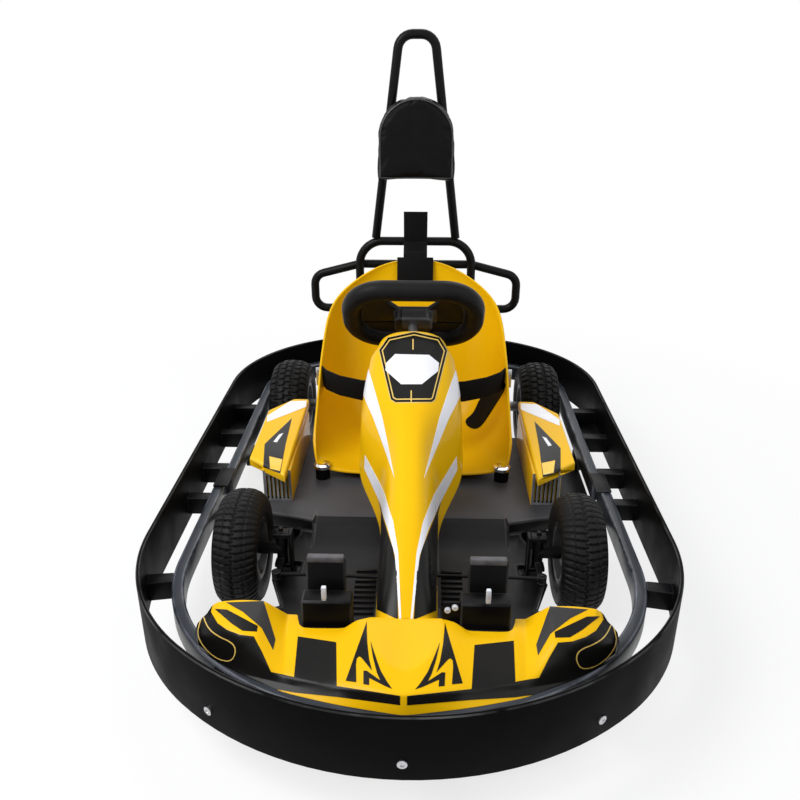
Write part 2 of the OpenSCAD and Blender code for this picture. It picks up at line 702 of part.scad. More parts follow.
// Blocks on the rails that the rear axle turns in
module axle_bearings() {
    color(steel) place() both_sides() difference() {
        span([rail_x - 13, wheelbase - 36, frame_top], [rail_x + 13, wheelbase + 36, rear_z + 34]);
        translate([0, wheelbase, rear_z]) rotate([0, 90, 0]) cylinder(h = 600, d = axle_d + 2 * run_gap);
    }
}

motor_y = hoop_y + 95;
motor_z = frame_top + 9 + motor_r;
pinion_r = 18;
module drive_motor() {
    end = drive_x - 18;
    color(steel) place() {
        span([-45, hoop_y - 10, frame_top], [end - 2, rail_rear - 5, frame_top + 6]);
        span([-36, motor_y - 30, frame_top + 3], [end - 8, motor_y + 30, frame_top + 20]);
        translate([-40, motor_y, motor_z]) rotate([0, 90, 0]) cylinder(h = end + 40, r = motor_r);
        translate([end, motor_y, motor_z]) rotate([0, 90, 0]) cylinder(h = drive_x + 5 - end, r = 8);
        translate([drive_x - 5, motor_y, motor_z]) rotate([0, 90, 0]) cylinder(h = 10, r = pinion_r);
    }
}

// Closed loop round the sprocket and the pinion
module drive_chain() {
    big = sprocket_r + 1;
    t = 8;
    v = [motor_y - wheelbase, motor_z - rear_z];
    turn = atan2(v.y, v.x);
    lean = asin((big - pinion_r) / norm(v));
    straight = norm(v) * cos(lean);
    color(steel) place() translate([drive_x - 5, wheelbase, rear_z]) rotate([90, 0, 90]) rotate([0, 0, turn]) {
        arc_wall([0, 0, 0], big, t, 90 - lean, 180 + 2 * lean, 10);
        arc_wall([norm(v), 0, 0], pinion_r, t, -90 + lean, 180 - 2 * lean, 10);
        for (s = [-1, 1]) rotate([0, 0, s * (90 - lean)]) translate([big, s < 0 ? 0 : -straight, 0])
            cube([t, straight, 10]);
    }
}

// Clamp over the brake disc, on a post
module brake_caliper() {
    x = -drive_x;
    color(dark_steel) place() {
        difference() {
            span([x - 22, wheelbase + 25, rear_z + 29], [x + 22, wheelbase + 95, rear_z + 89]);
            span([x - 8, wheelbase + 24, rear_z + 28], [x + 8, wheelbase + 80, rear_z + 79]);
        }
        span([x - 22, hoop_y - 10, frame_top], [x - 10, hoop_y + 15, rear_z + 29]);
    }
}

// Column with the drop arm and its stud at the foot
arm_s = (wheel_y + arm_len + drop_len * sin(column_angle)) / cos(column_angle);
drop_z = wheel_z - arm_s * sin(column_angle) - drop_len * cos(column_angle);
module steering_column() {
    color(steel) place() {
        on_column(arm_s + 8) cylinder(h = arm_s + 8 - hub_t, d = column_d);
        on_column(arm_s) {
            translate([-9, 0, -4]) cube([18, drop_len + 2, 8]);
            translate([0, drop_len, -4]) cylinder(h = 8, d = 20);
        }
        translate([0, -arm_len, rod_z + 9]) cylinder(h = drop_z - rod_z - 7, d = 10);
    }
}

module steering_wheel() {
    r = 80;
    x = wheel_w / 2 - rim_tube / 2 - r;
    y = wheel_h / 2 - rim_tube / 2 - r;
    color(black) place() on_column() {
        for (a = [0, 90, 180, 270]) {
            corner = [[x, y], [-x, y], [-x, -y], [x, -y]][a / 90];
            translate([corner.x, corner.y, 0]) rotate([0, 0, a]) rotate_extrude(angle = 90)
                translate([r, 0]) circle(d = rim_tube);
        }
        for (s = [-1, 1]) {
            translate([-x, s * (y + r), 0]) rotate([0, 90, 0]) cylinder(h = 2 * x, d = rim_tube);
            translate([s * (x + r), y, 0]) rotate([90, 0, 0]) cylinder(h = 2 * y, d = rim_tube);
        }
        // Two broad arms with a finger gap above, a thin plate below and the hub housing
        for (s = [0, 1]) mirror([s, 0, 0]) translate([0, 0, -6]) linear_extrude(12)
            polygon([[30, -24], [96, -y - r], [x + r, -y], [x + r, 26], [30, 22]]);
        right = concat([[x + r, 10]], [for (k = [0:4]) [x, y] + r * [cos(22.5 * k), sin(22.5 * k)]]);
        translate([0, 0, -3]) linear_extrude(6)
            polygon(concat(right, [for (p = reverse(right)) [-p.x, p.y]]));
        translate([0, 0, -hub_t]) linear_extrude(hub_t + 6)
            polygon([[-46, -22], [-36, -30], [36, -30], [46, -22], [46, 20], [36, 28], [-36, 28], [-46, 20]]);
    }
}

// Stub axle that turns on its kingpin, with an arm forward to the tie rod
module knuckle() {
    end = front_track / 2 + 34;
    color(steel) place() difference() {
        union() {
            translate([king_x, 0, front_z - 33]) cylinder(h = 66, r = 12);
            translate([king_x, 0, front_z]) rotate([0, 90, 0]) cylinder(h = end - king_x, d = stub_d);
            translate([king_x, 0, front_z]) rotate([0, 90, 0])
                cylinder(h = front_track / 2 - 34 - king_x, d = stub_d + 10);
            translate([end, 0, front_z]) rotate([0, 90, 0]) cylinder(h = 8, d = 26);
            span([king_x - 6, -arm_len - 8, rod_z - 17], [king_x + 6, 0, rod_z - 8]);
            translate([king_x, -arm_len, rod_z - 17]) cylinder(h = 9, d = 20);
            translate([king_x, -arm_len, rod_z - 8]) cylinder(h = 18, d = 8);
        }
        translate([king_x, 0, 0]) cylinder(h = 400, d = king_d + 2 * run_gap);
    }
}
module knuckle_right() {
    knuckle();
}
module knuckle_left() {
    mirror([1, 0, 0]) knuckle();
}

// Rod from the steering arm to the foot of the column: the inner eyes lie one above the other
module tie_rod(eye_z) {
    color(steel) place() difference() {
        union() {
            translate([king_x, -arm_len, rod_z - 7.5]) cylinder(h = 15, d = 20);
            translate([0, -arm_len, eye_z]) cylinder(h = 7, d = 20);
            rod([0, -arm_len, eye_z + 3.5], [king_x, -arm_len, rod_z], 7);
        }
        translate([king_x, -arm_len, 0]) cylinder(h = 200, d = 8 + 2 * run_gap);
    }
}
module tie_rod_right() {
    tie_rod(rod_z + 0.5);
}
module tie_rod_left() {
    mirror([1, 0, 0]) tie_rod(rod_z - 7.5);
}

// Half of a rim's section from its axle to its flange, about x = 0
module rim(w, bore) {
    half = w / 2;
    rotate([0, 90, 0]) rotate_extrude() {
        translate([bore, -33]) square([30 - bore, 66]);
        translate([29, -5]) square([rim_r - 34, 10]);
        translate([rim_r - 6, -half]) square([6, w]);
        for (s = [-1, 1]) translate([rim_r - 1, s > 0 ? half - 4 : -half]) square([8, 4]);
    }
}

// Tyre about x = 0, with round shoulders and its bead on the rim
module tyre(d, w) {
    r = d / 2;
    shoulder = 22;
    half = w / 2;
    color(rubber) rotate([0, 90, 0]) rotate_extrude($fn = 96) difference() {
        union() {
            translate([rim_r, -half + 10]) square([20, w - 20]);
            translate([rim_r + 8, -half]) square([r - shoulder - rim_r - 8, w]);
            translate([rim_r + 8, -half + shoulder]) square([r - rim_r - 8, w - 2 * shoulder]);
            for (s = [-1, 1]) translate([r - shoulder, s * (half - shoulder)]) circle(r = shoulder);
        }
        translate([rim_r - 1, -half + 16]) square([r - rim_r - 12, w - 32]);
    }
}

module front_rim() {
    color(steel) place() translate([front_track / 2, 0, front_z]) rim(front_w - 12, stub_d / 2 + run_gap);
}
module front_rim_right() {
    front_rim();
}
module front_rim_left() {
    mirror([1, 0, 0]) front_rim();
}
module front_tyre_right() {
    place() translate([front_track / 2, 0, front_z]) tyre(front_d, front_w);
}
module front_tyre_left() {
    mirror([1, 0, 0]) front_tyre_right();
}

module rear_axle() {
    end = rear_track / 2 + 44;
    color(steel) place() translate([-end, wheelbase, rear_z]) rotate([0, 90, 0]) cylinder(h = 2 * end, d = axle_d);
}
module rear_rims() {
    color(steel) place() both_sides() translate([rear_track / 2, wheelbase, rear_z]) rim(rear_w - 12, axle_d / 2);
}
module rear_tyre_right() {
    place() translate([rear_track / 2, wheelbase, rear_z]) tyre(rear_d, rear_w);
}
module rear_tyre_left() {
    mirror([1, 0, 0]) rear_tyre_right();
}

// Disc with a hub on the rear axle
module axle_disc(x, r, t) {
    place() translate([x, wheelbase, rear_z]) rotate([0, 90, 0]) difference() {
        union() {
            cylinder(h = t, r = r, center = true);
            cylinder(h = 24, r = axle_d / 2 + 12, center = true);
        }
        cylinder(h = 30, d = axle_d, center = true);
    }
}
module sprocket() {
    color(steel) axle_disc(drive_x, sprocket_r, 5);
}
module brake_disc() {
    color(steel) axle_disc(-drive_x, disc_r, 5);
}

bumper_band();
bumper_front_bow();
bumper_rear_bow();
bumper_spacers();
frame_rails();
frame_crosses();
front_yokes();
column_support();
floor_pan();
pedals();
nose_fairing();
steering_cowl();
seat_shell();
side_pod_left();
side_pod_right();
batteries();
seat_hoop();
grab_rail();
headrest_hoop();
headrest_pad();
shoulder_belt();
lap_belt();
axle_bearings();
drive_motor();
drive_chain();
brake_caliper();
steering_column();
steering_wheel();
knuckle_left();
knuckle_right();
tie_rod_left();
tie_rod_right();
front_rim_left();
front_rim_right();
front_tyre_left();
front_tyre_right();
rear_axle();
rear_rims();
rear_tyre_left();
rear_tyre_right();
sprocket();
brake_disc();
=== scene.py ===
"""Hire kart with a bumper ring all round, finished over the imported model."""
import math
import bpy
from mathutils import Matrix, Vector
from mathutils.geometry import tessellate_polygon


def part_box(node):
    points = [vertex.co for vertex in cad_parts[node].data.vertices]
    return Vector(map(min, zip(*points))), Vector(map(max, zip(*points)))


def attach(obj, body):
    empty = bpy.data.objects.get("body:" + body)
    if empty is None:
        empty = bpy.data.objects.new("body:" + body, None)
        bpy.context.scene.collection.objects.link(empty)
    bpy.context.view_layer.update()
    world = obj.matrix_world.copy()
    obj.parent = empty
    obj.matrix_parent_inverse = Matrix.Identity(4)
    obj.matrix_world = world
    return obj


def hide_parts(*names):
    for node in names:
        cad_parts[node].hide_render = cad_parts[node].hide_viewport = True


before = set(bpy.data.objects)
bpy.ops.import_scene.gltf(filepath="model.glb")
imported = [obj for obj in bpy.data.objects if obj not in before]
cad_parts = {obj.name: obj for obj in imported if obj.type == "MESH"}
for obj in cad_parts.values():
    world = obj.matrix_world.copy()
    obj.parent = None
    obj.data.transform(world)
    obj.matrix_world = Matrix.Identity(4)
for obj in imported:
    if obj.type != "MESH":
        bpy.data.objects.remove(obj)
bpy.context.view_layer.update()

# Studio: a pale floor, a white surround and three soft lamps. The camera stands in front of the
# kart, close to its middle line, and looks down over the nose.
bpy.context.scene.view_settings.view_transform = "Standard"
bpy.ops.object.select_all(action="DESELECT")
camera_at = (0.0238, -1.7738, 1.1675)
camera_tilt = math.radians(65.83)
camera_pan = math.radians(1.71)
sensor_mm = 36.0
bpy.ops.object.camera_add(location=camera_at, rotation=(camera_tilt, 0.0, camera_pan))
camera = bpy.context.object
camera.data.sensor_width = sensor_mm
camera.data.lens = sensor_mm
bpy.context.scene.camera = camera


def shown_itself(tree):
    """Mask of the rays that show a thing itself: those of the camera, of gloss and of glass."""
    ray = tree.nodes.new("ShaderNodeLightPath")
    shine = tree.nodes.new("ShaderNodeMath")
    shine.operation = "ADD"
    shown = tree.nodes.new("ShaderNodeMath")
    shown.operation = "ADD"
    shown.use_clamp = True
    tree.links.new(ray.outputs["Is Glossy Ray"], shine.inputs[0])
    tree.links.new(ray.outputs["Is Transmission Ray"], shine.inputs[1])
    tree.links.new(ray.outputs["Is Camera Ray"], shown.inputs[0])
    tree.links.new(shine.outputs[0], shown.inputs[1])
    return shown.outputs[0]


surround = bpy.data.worlds.new("studio_surround")
bpy.context.scene.world = surround
surround.use_nodes = True
sky_nodes = surround.node_tree.nodes
sky_links = surround.node_tree.links
sky_nodes.clear()
sky_light = sky_nodes.new("ShaderNodeBackground")
sky_light.inputs["Color"].default_value = (0.95, 0.97, 1.0, 1.0)
sky_light.inputs["Strength"].default_value = 0.50
sky_seen = sky_nodes.new("ShaderNodeBackground")
sky_seen.inputs["Color"].default_value = (1.0, 1.0, 1.0, 1.0)
sky_seen.inputs["Strength"].default_value = 1.0
sky_mix = sky_nodes.new("ShaderNodeMixShader")
sky_out = sky_nodes.new("ShaderNodeOutputWorld")
sky_links.new(shown_itself(surround.node_tree), sky_mix.inputs[0])
sky_links.new(sky_light.outputs[0], sky_mix.inputs[1])
sky_links.new(sky_seen.outputs[0], sky_mix.inputs[2])
sky_links.new(sky_mix.outputs[0], sky_out.inputs["Surface"])

bpy.ops.mesh.primitive_plane_add(size=30.0, location=(0.0, 0.0, 0.0))
floor = bpy.context.object
floor.name = "studio_floor"
floor_paint = bpy.data.materials.new("studio_floor_paint")
floor_paint.use_nodes = True
floor_nodes = floor_paint.node_tree.nodes
floor_links = floor_paint.node_tree.links
floor_nodes.clear()
floor_matt = floor_nodes.new("ShaderNodeBsdfDiffuse")
floor_matt.inputs["Color"].default_value = (0.86, 0.86, 0.86, 1.0)
floor_glow = floor_nodes.new("ShaderNodeEmission")
floor_glow.inputs["Strength"].default_value = 1.0
floor_place = floor_nodes.new("ShaderNodeTexCoord")
floor_reach = floor_nodes.new("ShaderNodeVectorMath")
floor_reach.operation = "LENGTH"
floor_fade = floor_nodes.new("ShaderNodeMapRange")
floor_fade.inputs["From Min"].default_value = 0.9
floor_fade.inputs["From Max"].default_value = 1.9
floor_fade.inputs["To Min"].default_value = 0.74
floor_share = floor_nodes.new("ShaderNodeMath")
floor_share.operation = "MULTIPLY"
floor_mix = floor_nodes.new("ShaderNodeMixShader")
floor_out = floor_nodes.new("ShaderNodeOutputMaterial")
floor_links.new(floor_place.outputs["Object"], floor_reach.inputs[0])
floor_links.new(floor_reach.outputs["Value"], floor_fade.inputs["Value"])
floor_links.new(shown_itself(floor_paint.node_tree), floor_share.inputs[0])
floor_links.new(floor_fade.outputs["Result"], floor_share.inputs[1])
floor_links.new(floor_share.outputs[0], floor_mix.inputs[0])
floor_links.new(floor_matt.outputs[0], floor_mix.inputs[1])
floor_links.new(floor_glow.outputs[0], floor_mix.inputs[2])
floor_links.new(floor_mix.outputs[0], floor_out.inputs["Surface"])
floor.data.materials.append(floor_paint)

for lamp_name, lamp_at, lamp_turn, lamp_size, lamp_power in (
        ("key_lamp", (-1.9, -1.3, 2.7), (36, 0, -54), 1.8, 84.0),
        ("fill_lamp", (2.3, -1.6, 2.2), (48, 0, 55), 2.4, 18.0),
        ("back_lamp", (0.2, 2.4, 2.8), (-40, 0, 0), 2.6, 34.0)):
    bpy.ops.object.light_add(type="AREA", location=lamp_at,
                             rotation=[math.radians(turn) for turn in lamp_turn])
    lamp = bpy.context.object
    lamp.name = lamp_name
    lamp.data.size = lamp_size
    lamp.data.energy = lamp_power

# Frame: square steel tubes welded into a ladder, with forks for the kingpins and a post for the
# column, all powder coated black. Every edge is rounded and a little polished by wear.
variation = bpy.data.node_groups.new("Surface variation", "ShaderNodeTree")
for label, kind in (("Vector", "NodeSocketVector"), ("Edge", "NodeSocketFloat"),
                    ("Light", "NodeSocketColor"), ("Dark", "NodeSocketColor"),
                    ("Worn", "NodeSocketColor"), ("Patch", "NodeSocketFloat"),
                    ("Smooth", "NodeSocketFloat"), ("Dull", "NodeSocketFloat"),
                    ("Grain", "NodeSocketFloat")):
    variation.interface.new_socket(label, in_out="INPUT", socket_type=kind)
for label, kind in (("Colour", "NodeSocketColor"), ("Roughness", "NodeSocketFloat"),
                    ("Height", "NodeSocketFloat")):
    variation.interface.new_socket(label, in_out="OUTPUT", socket_type=kind)
vary_in = variation.nodes.new("NodeGroupInput")
vary_out = variation.nodes.new("NodeGroupOutput")
vary_patch = variation.nodes.new("ShaderNodeTexNoise")
vary_patch.inputs["Detail"].default_value = 5.0
vary_spread = variation.nodes.new("ShaderNodeMapRange")
vary_spread.inputs["From Min"].default_value = 0.34
vary_spread.inputs["From Max"].default_value = 0.66
vary_colour = variation.nodes.new("ShaderNodeMix")
vary_colour.data_type = "RGBA"
vary_worn = variation.nodes.new("ShaderNodeMix")
vary_worn.data_type = "RGBA"
vary_rub = variation.nodes.new("ShaderNodeMath")
vary_rub.operation = "MULTIPLY"
vary_rough = variation.nodes.new("ShaderNodeMapRange")
vary_grain = variation.nodes.new("ShaderNodeTexNoise")
vary_grain.inputs["Detail"].default_value = 2.0
for source, target in (
        (vary_in.outputs["Vector"], vary_patch.inputs["Vector"]),
        (vary_in.outputs["Patch"], vary_patch.inputs["Scale"]),
        (vary_in.outputs["Vector"], vary_grain.inputs["Vector"]),
        (vary_in.outputs["Grain"], vary_grain.inputs["Scale"]),
        (vary_patch.outputs["Fac"], vary_spread.inputs["Value"]),
        (vary_spread.outputs["Result"], vary_colour.inputs[0]),
        (vary_in.outputs["Dark"], vary_colour.inputs[6]),
        (vary_in.outputs["Light"], vary_colour.inputs[7]),
        (vary_in.outputs["Edge"], vary_rub.inputs[0]),
        (vary_spread.outputs["Result"], vary_rub.inputs[1]),
        (vary_rub.outputs[0], vary_worn.inputs[0]),
        (vary_colour.outputs[2], vary_worn.inputs[6]),
        (vary_in.outputs["Worn"], vary_worn.inputs[7]),
        (vary_worn.outputs[2], vary_out.inputs["Colour"]),
        (vary_spread.outputs["Result"], vary_rough.inputs["Value"]),
        (vary_in.outputs["Smooth"], vary_rough.inputs["To Min"]),
        (vary_in.outputs["Dull"], vary_rough.inputs["To Max"]),
        (vary_rough.outputs["Result"], vary_out.inputs["Roughness"]),
        (vary_grain.outputs["Fac"], vary_out.inputs["Height"])):
    variation.links.new(source, target)


def finish(name, light, dark, worn, patch, smooth, dull, grain, relief, metallic=0.0, coat=0.0,
           specular=0.5):
    """Material from two shades in patches and a worn shade on edges, with a fine grain."""
    material = bpy.data.materials.new(name)
    material.use_nodes = True
    nodes = material.node_tree.nodes
    links = material.node_tree.links
    shader = nodes["Principled BSDF"]
    shader.inputs["Metallic"].default_value = metallic
    shader.inputs["Coat Weight"].default_value = coat
    shader.inputs["Specular IOR Level"].default_value = specular
    shader.inputs["Coat Roughness"].default_value = 0.06
    place = nodes.new("ShaderNodeTexCoord")
    edge = nodes.new("ShaderNodeAttribute")
    edge.attribute_name = "edge_wear"
    vary = nodes.new("ShaderNodeGroup")
    vary.node_tree = variation
    vary.inputs["Light"].default_value = (*light, 1.0)
    vary.inputs["Dark"].default_value = (*dark, 1.0)
    vary.inputs["Worn"].default_value = (*worn, 1.0)
    vary.inputs["Patch"].default_value = patch
    vary.inputs["Smooth"].default_value = smooth
    vary.inputs["Dull"].default_value = dull
    vary.inputs["Grain"].default_value = grain
    bump = nodes.new("ShaderNodeBump")
    bump.inputs["Strength"].default_value = relief
    bump.inputs["Distance"].default_value = 0.001
    links.new(place.outputs["Object"], vary.inputs["Vector"])
    links.new(edge.outputs["Fac"], vary.inputs["Edge"])
    links.new(vary.outputs["Colour"], shader.inputs["Base Color"])
    links.new(vary.outputs["Roughness"], shader.inputs["Roughness"])
    links.new(vary.outputs["Height"], bump.inputs["Height"])
    links.new(bump.outputs["Normal"], shader.inputs["Normal"])
    return material


def only(piece):
    """Selects one piece and nothing else."""
    bpy.ops.object.select_all(action="DESELECT")
    piece.select_set(True)
    bpy.context.view_layer.objects.active = piece


def copy_of(source, name):
    """New object with its own copy of another one's mesh."""
    piece = bpy.data.objects.new(name, source.data.copy())
    bpy.context.collection.objects.link(piece)
    return piece


merge_gap = 0.00002


def merged_copy(node, name):
    """Copy of a node's loose triangles with its points merged, left in edit mode."""
    piece = copy_of(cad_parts[node], name)
    only(piece)
    bpy.ops.mesh.customdata_custom_splitnormals_clear()
    bpy.ops.object.mode_set(mode="EDIT")
    bpy.ops.mesh.select_mode(type="EDGE")
    bpy.ops.mesh.select_all(action="SELECT")
    bpy.ops.mesh.remove_doubles(threshold=merge_gap)
    return piece


def coated(piece, material, smooth_angle=35.0):
    """Gives a piece its one material and smooth shading up to an angle."""
    only(piece)
    piece.data.materials.clear()
    piece.data.materials.append(material)
    bpy.ops.object.shade_smooth_by_angle(angle=math.radians(smooth_angle))


def eased(node, body, material, edge, sharp=30.0, segments=2, lid=None):
    """Copy of a node with its sharp edges rounded and marked for wear, those of a lid more so."""
    flat_within = math.radians(0.5)
    piece = merged_copy(node, node + "_finished")
    piece.data.materials.clear()
    piece.data.materials.append(material)
    piece.data.materials.append(material)
    if lid:
        lid_foot, lid_edge = lid
        bpy.ops.mesh.select_all(action="DESELECT")
        bpy.ops.mesh.edges_select_sharp(sharpness=math.radians(sharp))
        bpy.ops.object.mode_set(mode="OBJECT")
        points = piece.data.vertices
        for side in piece.data.edges:
            above = all(points[i].co.z > lid_foot for i in side.vertices)
            side.select = side.select and above
        bpy.ops.object.mode_set(mode="EDIT")
        bpy.ops.mesh.bevel(offset=lid_edge, segments=4, affect="EDGES", clamp_overlap=False,
                           material=1)
    bpy.ops.mesh.select_all(action="SELECT")
    bpy.ops.mesh.dissolve_limited(angle_limit=flat_within)
    bpy.ops.mesh.select_all(action="DESELECT")
    bpy.ops.mesh.edges_select_sharp(sharpness=math.radians(sharp))
    bpy.ops.mesh.bevel(offset=edge, segments=segments, affect="EDGES", clamp_overlap=False,
                       material=1)
    bpy.ops.object.mode_set(mode="OBJECT")
    worn = piece.data.attributes.new("edge_wear", "FLOAT", "FACE")
    for face in piece.data.polygons:
        worn.data[face.index].value = float(face.material_index == 1)
        face.material_index = 0
    coated(piece, material)
    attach(piece, body)
    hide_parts(node)
    return piece


powder_black = finish("powder_coat_black", light=(0.0045, 0.0045, 0.0050),
                      dark=(0.0030, 0.0030, 0.0034), worn=(0.040, 0.040, 0.042), patch=9.0,
                      smooth=0.28, dull=0.40, grain=900.0, relief=0.10, specular=0.10)
for tube_node in ("frame_rails", "frame_crosses", "front_yokes", "column_support"):
    eased(tube_node, "chassis", powder_black, edge=0.0022)

# Bumper bows: two steel tubes bent round the kart and painted a satin blue grey. Black steel
# spacer blocks and joint plates on them carry the plastic band, and a thin web is welded between
# two of the spacers on each side.
bow_grey = finish("bow_satin_grey", light=(0.026, 0.032, 0.042), dark=(0.018, 0.022, 0.030),
                  worn=(0.16, 0.17, 0.20), patch=14.0, smooth=0.26, dull=0.38, grain=700.0,
                  relief=0.06, coat=0.03, specular=0.2)
for bow_node in ("bumper_front_bow", "bumper_rear_bow"):
    eased(bow_node, "chassis", bow_grey, edge=0.005, segments=3)
spacer_black = finish("spacer_black", light=(0.0060, 0.0062, 0.0070),
                      dark=(0.0040, 0.0042, 0.0048), worn=(0.05, 0.05, 0.055), patch=14.0,
                      smooth=0.32, dull=0.46, grain=700.0, relief=0.08, specular=0.10)
eased("bumper_spacers", "chassis", spacer_black, edge=0.002)


def joined(pieces, name):
    """Makes one piece of several."""
    bpy.ops.object.select_all(action="DESELECT")
    for piece in pieces:
        piece.select_set(True)
    bpy.context.view_layer.objects.active = pieces[0]
    if len(pieces) > 1:
        bpy.ops.object.join()
    pieces[0].name = name
    pieces[0].data.name = name
    return pieces[0]


def faces_by(piece, wanted):
    """Leaves the piece in edit mode with the faces that a rule picks selected."""
    only(piece)
    bpy.context.tool_settings.mesh_select_mode = (False, False, True)
    bpy.ops.object.mode_set(mode="EDIT")
    bpy.ops.mesh.select_all(action="DESELECT")
    bpy.ops.object.mode_set(mode="OBJECT")
    for face in piece.data.polygons:
        face.select = bool(wanted(face))
    bpy.ops.object.mode_set(mode="EDIT")


def plate(name, low, high, edge, material, body="chassis"):
    """Box between two corners with all its edges rounded."""
    bpy.ops.object.select_all(action="DESELECT")
    bpy.ops.mesh.primitive_cube_add(size=1.0, location=[(a + b) / 2 for a, b in zip(low, high)],
                                    scale=[b - a for a, b in zip(low, high)])
    box = bpy.context.object
    box.name = name
    bpy.ops.object.transform_apply(location=True, rotation=True, scale=True)
    faces_by(box, lambda face: True)
    bpy.ops.mesh.bevel(offset=edge, segments=2, affect="EDGES")
    bpy.ops.object.mode_set(mode="OBJECT")
    coated(box, material)
    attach(box, body)


def side_plate(name, side, low, high, edge, material):
    """Plate on the left (-1) or the right (1), given by the corners of the right one."""
    near, far = sorted((side * low[0], side * high[0]))
    side_name = "_left" if side < 0 else "_right"
    plate(name + side_name, (near, *low[1:]), (far, *high[1:]), edge, material)


spacer_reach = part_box("bumper_spacers")[1][0]
for side in (-1, 1):
    side_plate("spacer_web", side, (spacer_reach - 0.060, 0.250, 0.1185),
               (spacer_reach - 0.0005, 0.394, 0.1225), edge=0.001, material=spacer_black)

# Bumper band: a strip of thick black polythene bolted round the bows, scuffed by other karts. Its
# lighter grey edges are wear and also a painted highlight where the upper edge catches the light.
# Domed bright bolts hold it at the spacers.
# The band's lighter shade on its edges is partly wear and partly a painted highlight.
band_black_edge_sheen = finish("band_scuffed_black", light=(0.0030, 0.0030, 0.0031),
                    dark=(0.0018, 0.0018, 0.0019), worn=(0.08, 0.08, 0.08), patch=11.0,
                    smooth=0.42, dull=0.58, grain=420.0, relief=0.18, specular=0.03)
eased("bumper_band", "chassis", band_black_edge_sheen, edge=0.0022, segments=3)
bolt_zinc = finish("bolt_zinc", light=(0.62, 0.62, 0.64), dark=(0.48, 0.48, 0.50),
                   worn=(0.75, 0.75, 0.77), patch=260.0, smooth=0.20, dull=0.36, grain=2500.0,
                   relief=0.05, metallic=1.0)


def bolt_heads(name, radius, height, places, material, body="chassis"):
    """Button heads with a socket, one at each place, standing along the direction given there."""
    ring_share = 0.28
    dome_share = 0.35
    socket_share = 0.5
    bpy.ops.object.select_all(action="DESELECT")
    bpy.ops.mesh.primitive_cylinder_add(vertices=12, radius=radius, depth=height,
                                        location=(0, 0, height / 2))
    head = bpy.context.object
    bpy.ops.object.transform_apply(location=True)
    faces_by(head, lambda face: face.normal.z > 0.9)
    bpy.ops.mesh.inset(thickness=radius * ring_share)
    bpy.ops.transform.translate(value=(0, 0, height * dome_share))
    bpy.ops.mesh.inset(thickness=radius * ring_share)
    bpy.ops.mesh.extrude_region_move(
        TRANSFORM_OT_translate={"value": (0, 0, -height * socket_share)})
    bpy.ops.object.mode_set(mode="OBJECT")
    copies = []
    for at, along in places:
        turn = Vector((0, 0, 1)).rotation_difference(Vector(along)).to_matrix().to_4x4()
        copies.append(copy_of(head, name))
        copies[-1].data.transform(Matrix.Translation(at) @ turn)
    bpy.data.objects.remove(head)
    heads = joined(copies, name)
    coated(heads, material, 30.0)
    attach(heads, body)


band_low, band_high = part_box("bumper_band")
front_y, back_y, half_w = band_low[1], band_high[1], band_high[0]
bolt_z = 0.136
back_bolt_x = 0.09
tip_radius = 0.596
tip_lean = 33.6
band_places = [((0.0, front_y, bolt_z), (0, -1, 0)), ((back_bolt_x, back_y, bolt_z), (0, 1, 0)),
               ((-back_bolt_x, back_y, bolt_z), (0, 1, 0))]
for lean in (-tip_lean, tip_lean):
    out = (math.sin(math.radians(lean)), -math.cos(math.radians(lean)), 0.0)
    tip_at = (out[0] * tip_radius, front_y + tip_radius + out[1] * tip_radius, bolt_z)
    band_places.append((tip_at, out))
for bolt_y in (-0.113, 0.037, 0.237, 0.407):
    for side in (-1, 1):
        band_places.append(((side * half_w, bolt_y, bolt_z), (side, 0, 0)))
bolt_heads("bumper_bolts", 0.0085, 0.003, band_places, bolt_zinc)

# Floor pan: a vacuum formed tray of black plastic with a tunnel, screwed to the frame. A lighter
# grey sheet on the top of its raised step is a painted highlight of light from above, and a dark
# plate lies on the frame's right arm. Ribs beside the tunnel grip the heels, and a liner closes
# the tray under each kingpin.
floor_grey = finish("floor_grey", light=(0.0085, 0.0085, 0.0095), dark=(0.0050, 0.0050, 0.0058),
                    worn=(0.060, 0.060, 0.064), patch=7.0, smooth=0.30, dull=0.44, grain=1200.0,
                    relief=0.16, specular=0.14)
pan = eased("floor_pan", "chassis", floor_grey, edge=0.006, segments=3)
# Lighter grey for the step's top only: a painted highlight of the light falling from above.
step_top_painted_highlight = finish("step_top_painted_highlight", light=(0.062, 0.062, 0.066), dark=(0.046, 0.046, 0.050),
                   worn=(0.11, 0.11, 0.115), patch=9.0, smooth=0.40, dull=0.54, grain=1200.0,
                   relief=0.22, specular=0.25)


def thickened(sheet, material, thick, body):
    """Gives a sheet its thickness, outward from the faces that it was taken from."""
    wall = sheet.modifiers.new("thickness", "SOLIDIFY")
    wall.thickness = thick
    wall.offset = 1.0
    only(sheet)
    bpy.ops.object.modifier_apply(modifier=wall.name)
    coated(sheet, material, 40.0)
    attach(sheet, body)


def skin(base, name, wanted, material, thick):
    """Thin skin over the faces of a piece that a rule picks."""
    sheet = copy_of(base, name)
    faces_by(sheet, lambda face: not wanted(face))
    bpy.ops.mesh.delete(type="FACE")
    bpy.ops.object.mode_set(mode="OBJECT")
    thickened(sheet, material, thick, "chassis")


